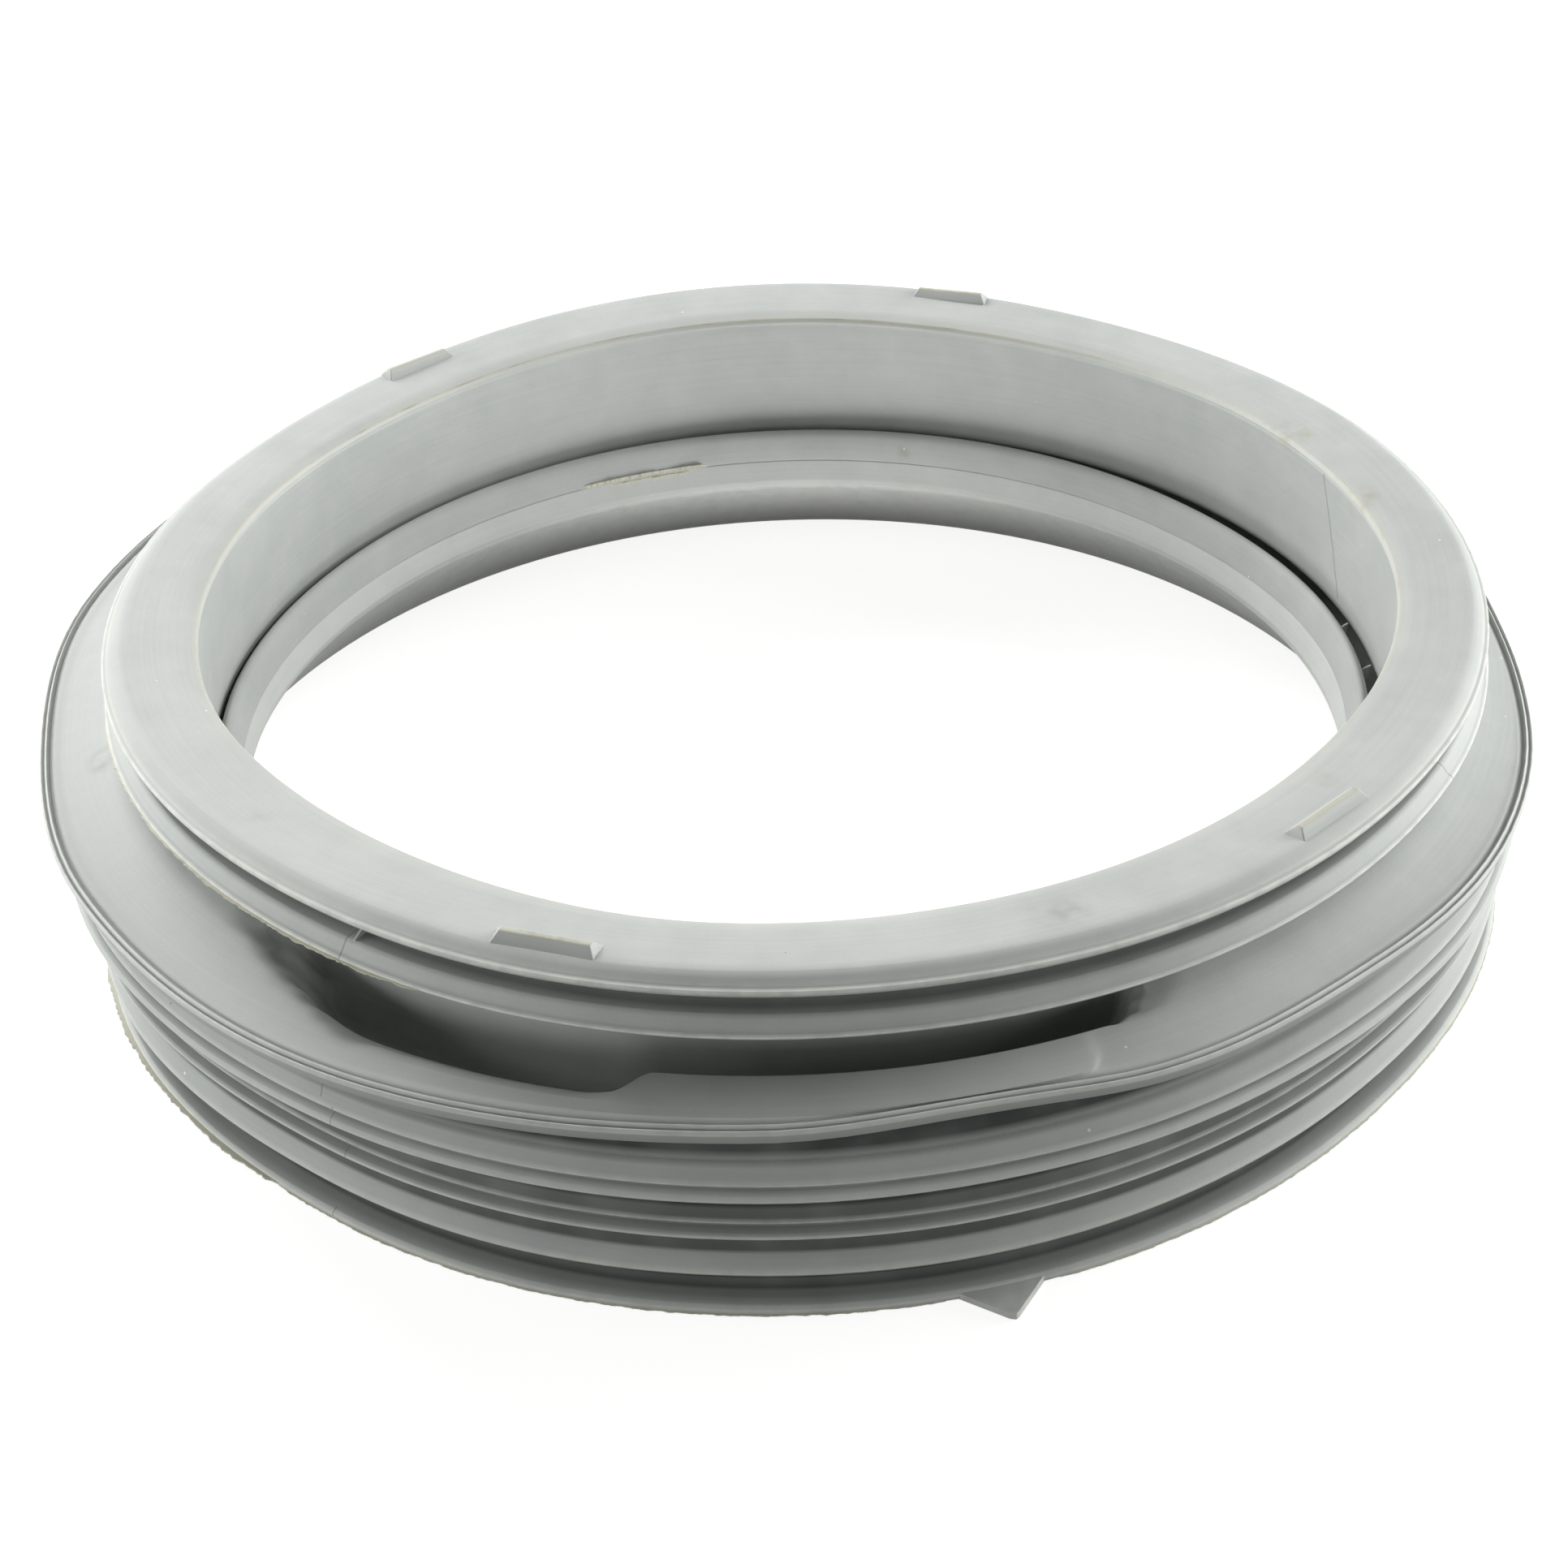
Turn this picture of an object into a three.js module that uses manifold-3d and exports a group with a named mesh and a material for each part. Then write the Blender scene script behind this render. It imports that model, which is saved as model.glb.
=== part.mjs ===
// Washing machine door seal: one grey rubber moulding, a ring with a folded wall.
// It lies on its foot. Millimetres, +Z up, the foot's underside at Z = 0.
// The top flange and its U-groove clip over the cabinet's front edge, the foot groove takes the
// clamp on the tub, and the wall between them folds so that the tub can swing.
import * as THREE from "three";
import Module from "manifold-3d";

const wasm = await Module();
wasm.setup();

// Top flange: the flat ring that faces up, and climbs a little from the mouth outwards.
const mouthRadius = 148;
const flangeWidth = 24;
const flangeRise = 3.6;
const mouthRound = 1.2;
const bevelWidth = 3.2;

// Groove in the flange's outer side, open outwards, and the lip under it.
const grooveDepth = 9.7;
const grooveHeight = 5.5;
const grooveRound = 1.2;
const upperLipThickness = 1.0;
const lowerLipThickness = 3.8;
const lowerLipOverhang = 1.2;

// Shoulder: the smooth cone from the lower lip out to the rim.
const shoulderReach = 15.8;
const shoulderDrop = 8.0;
const rimBead = 1.2;
const rimDent = 2.3;
const rimDentAngle = 281;
const rimDentSpread = 13;

// Folded outer wall with its ribs, from the rim down to the foot.
const wallThickness = 2.8;
const rimUndercut = 6.4;
const upperRibInset = 2.4;
const upperRibDrop = 20.2;
const upperFoldDepth = 8.6;
const lowerRibInset = 5.1;
const lowerRibDrop = 15.2;
const lowerFoldDepth = 4.5;
const clampRibDrop = 10.3;

// Foot: the flat ring that the seal lies on, with the groove for the clamp over it.
const footThickness = 2.4;
const footWidth = 13;
const clampGrooveHeight = 8.7;
const clampGrooveDepth = 8.7;
const clampRibThickness = 1.2;

// Inner lip that seals on the door glass, on a sloping web from the foot.
const doorLipReach = 5.5;
const doorLipHeight = 19;
const doorLipThickness = 5.2;
const doorLipBottom = 25.2;
const webThickness = 3.1;

// Skirt: the inner wall that hangs from the mouth and ends clear of the door lip.
const skirtLength = 39.5;
const skirtFlare = 3.4;
const skirtThickness = 3.4;

// Pocket moulded into the front of the shoulder, open upwards under the lower lip.
const pocketStart = 225.5;
const pocketEnd = 293.2;
const pocketStartRun = 6;
const pocketEndRun = 1.8;
const pocketStartSlant = 0.55;
const pocketEndSlant = 0.08;
const pocketDepth = 27;
const pocketEdgeInset = 9;
const pocketStep = 5.5;
const pocketStepAngle = 259.5;
const pocketInnerInset = 0.8;

// Four raised blocks that locate the flange, in pairs each side of the marked axis.
const markAngle = 281.8;
const blockSpread = 30.1;
const blockLength = 22.6;
const blockHeight = 1.8;
const blockTopWidth = 1.2;
const blockOuterSlope = 2.6;
const blockInnerSlope = 2;
const blockEndSlope = 1.5;
const blockInset = 4;
const blockSunk = 1.8;

// Arrow-shaped tab on the foot's edge that marks the position of the seal.
const tabAngle = 282.9;
const tabWidth = 22.5;
const tabReach = 8.4;

// The ring is soft and doesn't stand quite square on its foot.
const topLean = 4.6;
const footLean = 2.7;

// Radii that follow from the widths.
const lipRadius = mouthRadius + flangeWidth;
const grooveFloor = lipRadius - grooveDepth;
const lowerLipRadius = lipRadius + lowerLipOverhang;
const rimRadius = lowerLipRadius + shoulderReach;
const upperRib = rimRadius - upperRibInset;
const lowerRib = upperRib - lowerRibInset;
const clampFloor = lowerRib - clampGrooveDepth;
const footInner = lowerRib - footWidth;
const doorLip = mouthRadius - doorLipReach;

// Heights that follow from the drops, built up from the foot.
const clampRibZ = footThickness + clampGrooveHeight + clampRibThickness;
const lowerRibZ = clampRibZ + clampRibDrop;
const upperRibZ = lowerRibZ + lowerRibDrop;
const rimZ = upperRibZ + upperRibDrop;
const shoulderTop = rimZ + shoulderDrop;
const lowerLipTop = shoulderTop + lowerLipThickness + 2.8;
const grooveTop = lowerLipTop + grooveHeight;
const lipZ = grooveTop + upperLipThickness;
const crownZ = lipZ + flangeRise;
const skirtBottom = lipZ - skirtLength;
const doorLipTop = doorLipBottom + doorLipHeight;

const rad = THREE.MathUtils.degToRad;
const step = THREE.MathUtils.smoothstep;
const mix = THREE.MathUtils.lerp;

// One point of the section: radius, height and how far it leans sideways.
// Where the pocket changes the section, a second radius and height say where the point goes.
const at = (r, z, lean, pocketR = r, pocketZ = z) => ({ r, z, lean, pocketR, pocketZ });

// The same on the hidden side of the wall, which makes room before the pocket's own face dips.
const below = (...values) => ({ ...at(...values), hidden: true });

// A smooth window that is 1 inside the pocket, with ends that slant across the shoulder.
function pocketAt(angle, point) {
  if (point.hidden) {
    const opened = step(angle, pocketStart - pocketStartRun, pocketStart + 1);
    return opened * (1 - step(angle, pocketEnd, pocketEnd + pocketEndRun));
  }
  const across = point.r - grooveFloor;
  const start = pocketStart + pocketStartSlant * across;
  const end = pocketEnd - pocketEndSlant * across;
  return step(angle, start, start + pocketStartRun) * (1 - step(angle, end - pocketEndRun, end));
}

// The pocket's outer edge steps inwards part of the way along.
const edgeAt = (angle) =>
  rimRadius - pocketEdgeInset - pocketStep * step(angle, pocketStepAngle - 1, pocketStepAngle + 1);

// The section at one angle, as a closed outline of points.
function section(angle) {
  const floorZ = shoulderTop - pocketDepth;
  const inner = grooveFloor - pocketInnerInset;
  const edge = edgeAt(angle);
  const edgeZ = rimZ + 3;
  const underZ = floorZ - wallThickness;
  const foldInner = upperRib - upperFoldDepth - wallThickness;
  const wallInner = rimRadius - rimUndercut - wallThickness - 0.6;
  const run = rimRadius - grooveFloor;
  const cone = (r) => shoulderTop - (shoulderDrop * (r - grooveFloor)) / run;
  const slope = (r, pocketR, pocketZ) =>
    at(r, cone(r), topLean * (1 - (r - grooveFloor) / run), pocketR, pocketZ);
  const under = (r, pocketR, pocketZ) =>
    below(r, cone(r) - wallThickness, topLean * (1 - (r - grooveFloor) / run), pocketR, pocketZ);
  const flange = [
    at(mouthRadius, lipZ - mouthRound, topLean),
    at(mouthRadius + mouthRound, lipZ + 0.4, topLean),
    at(lipRadius - bevelWidth - 2, crownZ, topLean),
    at(lipRadius - bevelWidth / 2, crownZ - 0.9, topLean),
    at(lipRadius, lipZ + 0.3, topLean),
    at(lipRadius - 0.4, lipZ - 0.6, topLean),
  ];
  const groove = [
    at(grooveFloor + grooveRound, grooveTop, topLean),
    at(grooveFloor, grooveTop - grooveRound, topLean),
    at(grooveFloor, lowerLipTop + grooveRound, topLean),
    at(grooveFloor + grooveRound, lowerLipTop, topLean),
  ];
  const lowerLip = [
    at(lowerLipRadius - 3, lowerLipTop - 0.4, topLean),
    at(lowerLipRadius, lowerLipTop - 3.1, topLean),
    at(lowerLipRadius - 0.6, lowerLipTop - lowerLipThickness, topLean),
    at(grooveFloor + 3, shoulderTop + 1.9, topLean),
  ];
  const shoulder = [
    slope(grooveFloor + 1.8, inner, shoulderTop - 3),
    slope(grooveFloor + 4.4, inner - 0.4, floorZ + 9),
    slope(grooveFloor + 7, inner + 2.2, floorZ + 1.6),
    slope(grooveFloor + 9.6, edge - 6, floorZ),
    slope(grooveFloor + 12.2, edge - 1.4, floorZ + 5),
    slope(grooveFloor + 14.8, edge - 0.5, edgeZ - 3),
    slope(grooveFloor + 17.6, edge + 1, edgeZ),
    slope(rimRadius - 2.6, rimRadius - 2.6, rimZ + 0.7),
  ];
  const rim = [
    at(rimRadius - 1.5, rimZ + rimBead, 0),
    at(rimRadius, rimZ, 0),
    at(rimRadius - 1, rimZ - rimBead - 0.3, 0),
  ];
  const wall = [
    at(rimRadius - rimUndercut + 1, rimZ - 4, 0),
    at(rimRadius - rimUndercut - 0.6, rimZ - 8, 0.2 * footLean),
    at(upperRib - 3, upperRibZ + 6, 0.6 * footLean),
    at(upperRib, upperRibZ + 0.4, footLean),
    at(upperRib - 0.4, upperRibZ - 0.7, footLean),
    at(upperRib - upperFoldDepth + 1.4, upperRibZ - 3.9, footLean),
    at(upperRib - upperFoldDepth, upperRibZ - 7.4, footLean),
    at(lowerRib - 2, lowerRibZ + 3.6, footLean),
    at(lowerRib, lowerRibZ, footLean),
    at(lowerRib - 0.6, lowerRibZ - 0.9, footLean),
    at(lowerRib - lowerFoldDepth + 0.5, lowerRibZ - 2.7, footLean),
    at(lowerRib - lowerFoldDepth, lowerRibZ - 5.2, footLean),
    at(lowerRib, clampRibZ, footLean),
    at(lowerRib - 0.4, clampRibZ - clampRibThickness, footLean),
    at(clampFloor + 1, footThickness + clampGrooveHeight - 1, footLean),
    at(clampFloor, footThickness + clampGrooveHeight - 2, footLean),
    at(clampFloor, footThickness + 1, footLean),
    at(clampFloor + 1, footThickness, footLean),
  ];
  const foot = [
    at(lowerRib - 0.6, footThickness - 0.2, footLean),
    at(lowerRib, footThickness - 0.9, footLean),
    at(lowerRib, 0.6, footLean),
    at(lowerRib - 0.6, 0, footLean),
    at(footInner, 0, footLean),
    at(footInner - 2, 1, footLean),
  ];
  const lip = [
    at(doorLip + 7, doorLipBottom - 2.9, footLean),
    at(doorLip + 2, doorLipBottom, footLean),
    at(doorLip, doorLipBottom + 3.8, footLean),
    at(doorLip + 0.4, doorLipBottom + 11, footLean),
    at(doorLip + 1.6, doorLipTop - 1.8, footLean),
    at(doorLip + doorLipThickness - 1.8, doorLipTop, footLean),
    at(doorLip + doorLipThickness, doorLipTop - 1.4, footLean),
    at(doorLip + doorLipThickness, doorLipBottom + 11, footLean),
    at(doorLip + 6, doorLipBottom + 4, footLean),
    at(doorLip + 8.6, doorLipBottom, footLean),
  ];
  const cavity = [
    at(footInner - 1, footThickness + webThickness, footLean),
    at(clampFloor - wallThickness, footThickness + webThickness + 1, footLean),
    at(clampFloor - wallThickness, clampRibZ - 1, footLean),
    at(lowerRib - lowerFoldDepth - wallThickness, lowerRibZ - 7.4, footLean),
    at(lowerRib - lowerFoldDepth - wallThickness, lowerRibZ - 1.6, footLean),
    at(foldInner, upperRibZ - 6.6, footLean),
    below(upperRib - 5.6, upperRibZ + 2.4, footLean, foldInner, underZ - 1.8),
    below(wallInner, rimZ - 8, 0.2 * footLean, foldInner - 0.6, underZ - 0.6),
    below(rimRadius - rimUndercut, rimZ - 1.4, 0, foldInner - 2, underZ),
  ];
  const shoulderUnder = [
    under(grooveFloor + 17.6, foldInner - 3.6, underZ),
    under(grooveFloor + 14.8, foldInner - 5.2, underZ),
    under(grooveFloor + 12, foldInner - 6.8, underZ),
    under(grooveFloor + 9, foldInner - 8.6, underZ),
    under(grooveFloor + 6, inner + 1.6, underZ),
    under(grooveFloor + 3, inner - 1.8, underZ + 1.8),
    below(grooveFloor - 1.4, shoulderTop - 3.4, topLean, inner - wallThickness, shoulderTop - 8),
  ];
  const skirt = [
    at(mouthRadius + skirtThickness + 3, shoulderTop - 3.4, topLean),
    at(mouthRadius + skirtThickness + 1.2, shoulderTop - 5, topLean),
    at(mouthRadius + skirtFlare + skirtThickness - 0.4, skirtBottom + 2, topLean),
    at(mouthRadius + skirtFlare + skirtThickness / 2, skirtBottom, topLean),
    at(mouthRadius + skirtFlare, skirtBottom + 1.2, topLean),
  ];
  return [flange, groove, lowerLip, shoulder, rim, wall, foot, lip, cavity, shoulderUnder, skirt].flat();
}

// The rim is pressed in a little next to the marked axis.
function rimShift(point, angle) {
  const near = step(point.r, rimRadius - 9, rimRadius - 3) * step(point.z, rimZ - 12, rimZ - 4);
  const rise = step(angle, rimDentAngle - rimDentSpread, rimDentAngle - 1);
  const fall = step(angle, rimDentAngle + 1, rimDentAngle + rimDentSpread);
  return -rimDent * near * rise * (1 - fall);
}

// Angles of the sections: closer together where the pocket begins, steps and ends.
const stretches = [
  [pocketStart, pocketStart + 17, 10],
  [pocketStart + 17, pocketStepAngle - 2, 3],
  [pocketStepAngle - 2, pocketStepAngle + 2, 3],
  [pocketStepAngle + 2, pocketEnd - pocketEndRun, 5],
  [pocketEnd - pocketEndRun, pocketEnd, 2],
  [pocketEnd, pocketEnd + 5, 3],
  [pocketEnd + 5, pocketStart + 360, 46],
];

function sweep() {
  const rings = [];
  for (const [from, to, count] of stretches) {
    for (let i = 0; i < count; i += 1) {
      const angle = mix(from, to, i / count);
      rings.push(
        section(angle).map((p) => {
          const open = pocketAt(angle, p);
          const r = mix(p.r, p.pocketR, open) + rimShift(p, angle);
          const z = mix(p.z, p.pocketZ, open);
          return [r * Math.cos(rad(angle)) + p.lean, r * Math.sin(rad(angle)), z];
        }),
      );
    }
  }
  const count = rings[0].length;
  const faces = [];
  rings.forEach((ring, i) => {
    const next = (i + 1) % rings.length;
    for (let j = 0; j < count; j += 1) {
      const k = (j + 1) % count;
      faces.push(i * count + j, i * count + k, next * count + k);
      faces.push(i * count + j, next * count + k, next * count + j);
    }
  });
  return solid(rings.flat(), faces);
}

// A manifold solid from a list of points and triangles.
function solid(points, faces) {
  const mesh = new wasm.Mesh({
    numProp: 3,
    vertProperties: new Float32Array(points.flat()),
    triVerts: new Uint32Array(faces),
  });
  return new wasm.Manifold(mesh);
}

// A straight-sided solid between a lower and an upper outline with the same number of corners.
function prism(lower, upper) {
  const n = lower.length;
  const faces = [];
  for (let i = 0; i < n; i += 1) {
    const k = (i + 1) % n;
    faces.push(i, k, n + k, i, n + k, n + i);
    if (i > 0 && i < n - 1) faces.push(0, i + 1, i, n, n + i, n + i + 1);
  }
  return solid([...lower, ...upper], faces);
}

// A point given by its angle on the ring, its radius and a distance along the tangent.
function onRing(angle, radius, along, z, lean) {
  const c = Math.cos(rad(angle));
  const s = Math.sin(rad(angle));
  return [radius * c - along * s + lean, radius * s + along * c, z];
}

// One locating block: a low ridge with four sloped sides, which run on into the flange.
function block(angle) {
  const topOuter = lipRadius - blockInset - blockOuterSlope;
  const topInner = topOuter - blockTopWidth;
  const topHalf = blockLength / 2 - blockEndSlope;
  const top = crownZ + blockHeight;
  const sunk = 1 + blockSunk / blockHeight;
  const outline = (share, z) => {
    const h = topHalf + share * blockEndSlope;
    const a = topInner - share * blockInnerSlope;
    const b = topOuter + share * blockOuterSlope;
    return [
      onRing(angle, a, -h, z, topLean),
      onRing(angle, b, -h, z, topLean),
      onRing(angle, b, h, z, topLean),
      onRing(angle, a, h, z, topLean),
    ];
  };
  return prism(outline(sunk, crownZ - blockSunk), outline(0, top));
}

// The arrow tab lies flat in the foot's lip and points outwards.
function tab() {
  const base = lowerRib * Math.cos(rad(6)) - 1;
  const outline = (z) => [
    onRing(tabAngle, base - 3, -tabWidth / 2, z, footLean),
    onRing(tabAngle, base, -tabWidth / 2, z, footLean),
    onRing(tabAngle, lowerRib + tabReach, 0, z, footLean),
    onRing(tabAngle, base, tabWidth / 2, z, footLean),
    onRing(tabAngle, base - 3, tabWidth / 2, z, footLean),
  ];
  return prism(outline(0.3), outline(footThickness - 0.3));
}

function geometryOf(body) {
  const mesh = body.getMesh();
  const geometry = new THREE.BufferGeometry();
  geometry.setAttribute("position", new THREE.BufferAttribute(mesh.vertProperties, 3));
  geometry.setIndex(new THREE.BufferAttribute(mesh.triVerts, 1));
  geometry.computeVertexNormals();
  return geometry;
}

let body = sweep();
for (const side of [markAngle, markAngle + 180]) {
  body = body.add(block(side - blockSpread));
  body = body.add(block(side + blockSpread));
}
body = body.add(tab());

const greyRubber = new THREE.MeshStandardMaterial({ color: 0xa9adab, roughness: 0.62, metalness: 0 });

const doorSeal = new THREE.Mesh(geometryOf(body), greyRubber);
doorSeal.name = "door_seal";

const seal = new THREE.Group();
seal.name = "washing_machine_door_seal";
seal.add(doorSeal);

export default seal;
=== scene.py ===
# %% [markdown]
# # Washing machine door seal
# The seal is one grey rubber moulding, a ring that closes the gap between a washing machine's
# cabinet and its tub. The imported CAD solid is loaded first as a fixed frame. Every piece below is
# built in metres in that frame, so nothing has to be fitted by eye. All sizes are written in
# millimetres, as a mould maker would, and turned into metres in one place.

from math import cos, pi, radians, sin

import bpy
import numpy as np
from mathutils import Matrix, Vector


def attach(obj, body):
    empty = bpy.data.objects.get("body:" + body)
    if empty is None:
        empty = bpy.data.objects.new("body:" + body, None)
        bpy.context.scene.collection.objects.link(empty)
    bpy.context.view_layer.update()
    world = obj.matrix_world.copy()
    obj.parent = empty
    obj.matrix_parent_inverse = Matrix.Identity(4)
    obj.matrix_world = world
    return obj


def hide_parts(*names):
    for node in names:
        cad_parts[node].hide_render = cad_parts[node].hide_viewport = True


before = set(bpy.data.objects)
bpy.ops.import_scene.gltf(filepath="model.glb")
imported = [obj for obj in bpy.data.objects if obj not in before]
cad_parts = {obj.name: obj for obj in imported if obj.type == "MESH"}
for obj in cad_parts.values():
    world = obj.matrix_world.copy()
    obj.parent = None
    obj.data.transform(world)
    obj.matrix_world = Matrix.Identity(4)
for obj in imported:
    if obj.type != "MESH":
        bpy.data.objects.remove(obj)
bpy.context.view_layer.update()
MM = 0.001

# %% [markdown]
# ## The sizes of the moulding
# These are the same driving sizes as in the CAD source: the flange with its groove, the folded
# wall, the foot with its clamp groove, the door lip, the skirt and the pocket in the shoulder.
# Everything else follows from them, so the dressed seal lies over the solid. Only the rim is up to
# two millimetres thicker underneath.

# %% Driving sizes in millimetres
MOUTH, FLANGE_WIDTH, FLANGE_RISE = 148.0, 24.0, 3.6
GROOVE_DEPTH, GROOVE_HEIGHT = 9.7, 5.5
UPPER_LIP, LOWER_LIP, LIP_ROOT, LIP_OVERHANG = 1.0, 3.8, 2.8, 1.2
SHOULDER_REACH, SHOULDER_DROP = 15.8, 8.0
WALL = 2.8
RIM_UNDERCUT = 6.4
UPPER_INSET, UPPER_DROP, UPPER_FOLD = 2.4, 20.2, 8.6
LOWER_INSET, LOWER_DROP, LOWER_FOLD = 5.1, 15.2, 4.5
CLAMP_DROP, CLAMP_HEIGHT, CLAMP_DEPTH, CLAMP_RIB = 10.3, 8.7, 8.7, 1.2
FOOT, FOOT_WIDTH, WEB = 2.4, 13.0, 3.1
DOOR_REACH, DOOR_HEIGHT, DOOR_THICK, DOOR_BOTTOM = 5.5, 19.0, 5.2, 25.2
SKIRT_LENGTH, SKIRT_FLARE, SKIRT_THICK = 39.5, 3.4, 3.4
POCKET_DEPTH, POCKET_INSET, POCKET_STEP = 27.0, 9.0, 5.5
TOP_LEAN, FOOT_LEAN = 4.6, 2.7

LIP = MOUTH + FLANGE_WIDTH
GROOVE = LIP - GROOVE_DEPTH
LOW_LIP = LIP + LIP_OVERHANG
RIM = LOW_LIP + SHOULDER_REACH
UPPER = RIM - UPPER_INSET
LOWER = UPPER - LOWER_INSET
CLAMP = LOWER - CLAMP_DEPTH
FOOT_IN = LOWER - FOOT_WIDTH
DOOR = MOUTH - DOOR_REACH

CLAMP_Z = FOOT + CLAMP_HEIGHT + CLAMP_RIB
LOWER_Z = CLAMP_Z + CLAMP_DROP
UPPER_Z = LOWER_Z + LOWER_DROP
RIM_Z = UPPER_Z + UPPER_DROP
SHOULDER_Z = RIM_Z + SHOULDER_DROP
LOW_LIP_Z = SHOULDER_Z + LOWER_LIP + LIP_ROOT
GROOVE_Z = LOW_LIP_Z + GROOVE_HEIGHT
LIP_Z = GROOVE_Z + UPPER_LIP
CROWN_Z = LIP_Z + FLANGE_RISE
SKIRT_Z = LIP_Z - SKIRT_LENGTH
DOOR_Z = DOOR_BOTTOM + DOOR_HEIGHT
print("rim across", 2 * RIM, "mm, crown", round(CROWN_Z, 1), "mm up")

# %% [markdown]
# ## Smooth steps and gentle waves
# A rubber ring never lies perfectly round. Its flange rises and falls by a millimetre or so, and
# its rim bulges where it was pressed. A few smooth humps, each with a place, a width and a
# height, give that without any random wobble, and they can be moved one by one.

# %% Helpers for steps and waves
def step(x, low, high):
    t = np.clip((x - low) / (high - low), 0.0, 1.0)
    return t * t * (3 - 2 * t)


def mix(a, b, t):
    return a + (b - a) * t


def hump(angle, at, width):
    off = (angle - at + 180.0) % 360.0 - 180.0
    return np.where(np.abs(off) < width, 0.5 + 0.5 * np.cos(pi * off / width), 0.0)


def waves(angle, humps):
    return sum(height * hump(angle, at, width) for at, width, height in humps)


MOUTH_WAVES = [(230, 34, -2.0), (350, 34, 1.9), (196, 26, 0.8), (262, 24, 0.5)]
FLANGE_WAVES = [(228, 24, -0.9), (300, 26, 0.6), (10, 42, -2.4), (50, 30, -1.4), (160, 42, -2.4),
                (98, 26, 0.6)]
RISE_WAVES = [(52, 36, -1.2), (97, 30, 1.0), (143, 32, -1.2)]
CROWN_WAVES = [(35, 45, -1.2), (150, 40, -1.0)]
RIM_WAVES = [(238, 26, 2.2), (324, 24, 3.0), (298, 14, 1.6), (281, 13, -2.8), (268, 14, -0.6),
             (0, 24, -4.0), (192, 22, -2.8), (90, 40, -0.15)]
FOLD_WAVES = [(304, 26, -0.7), (210, 26, 1.2), (337, 14, -1.2)]
RIB_WAVES = [(206, 28, 2.3), (344, 32, 3.2), (248, 20, 0.4)]
LIP_WAVES = [(5, 35, 2.4), (178, 30, 0.8)]

# %% [markdown]
# ## The section
# A seal like this is a section swept round a ring. The section is a closed outline of corners.
# Each corner has a softness, the length over which it is rounded, because moulded rubber has no
# sharp corners apart from the thin fins where the mould halves met. A corner can also carry how
# much it is stained, how much paler it is painted, for pale moulding edges and, on the web and foot,
# as painted light, and how deep in a crease it lies, where painted shade darkens the rubber. Three
# more shares paint shade elsewhere: in the pocket, at the front of the shoulder and on the sides of
# the inner wall. Where the pocket interrupts the shoulder, a second place says where the corner
# moves to.

# %% One corner of the section
class Corner:
    def __init__(self, r, z, soft=0.0, lean=TOP_LEAN, to=None, hidden=False, stain=0.0, edge=0.0, deep=0.0):
        self.r, self.z, self.soft, self.lean = r, z, soft, lean
        self.to, self.hidden = to, hidden
        # Edge paints the rubber paler: pale moulding edges, and painted light on the web and foot. Deep
        # paints shade into creases.
        self.stain, self.edge, self.deep = stain, edge, deep
        # Shares of painted shade in the pocket, at the front of the shoulder and on the inner wall's sides.
        self.sunk, self.front, self.sides = 0.0, 0.0, 0.0
        self.top, self.rim, self.fold, self.rib, self.lip, self.slide = 0.0, 0.0, 0.0, 0.0, 0.0, 0.0


def held(corners, **shares):
    """Give a run of corners the same lean, or the same share of a wave or of painted shade."""
    for corner in corners:
        for name, share in shares.items():
            setattr(corner, name, share)
    return corners


# %% [markdown]
# ### Flange, groove and lower lip
# The flange is the ring that faces the door. It starts at the mouth with a small chamfer, climbs
# to a crown and falls in a short bevel to a thin fin. Under the fin lies the groove that grips
# the cabinet's sheet edge, and under the groove a second lip with a fin of its own.

# %% Flange, groove and lower lip
flange = [
    Corner(MOUTH, LIP_Z - 1.0, 0.4, stain=0.5),
    Corner(MOUTH + 0.5, LIP_Z + 0.25, 0.4, stain=1.0),
    Corner(MOUTH + 3.8, LIP_Z + 1.5, 1.4, stain=0.12),
    Corner(MOUTH + 11, LIP_Z + 2.55, 3.0),
    Corner(LIP - 4.8, CROWN_Z, 2.2),
    Corner(LIP - 3.0, CROWN_Z - 0.55, 0.9, stain=0.12),
    Corner(LIP - 1.35, LIP_Z + 1.75, 0.2, stain=0.3, edge=0.35),
    Corner(LIP - 1.0, LIP_Z + 1.35, 0.2, stain=0.3),
    Corner(LIP - 0.1, LIP_Z + 1.2, 0.15, edge=0.9),
    Corner(LIP, LIP_Z + 0.6, 0.15, edge=1.0),
    Corner(LIP - 0.5, LIP_Z - 0.6, 0.3, edge=0.2),
]
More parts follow.
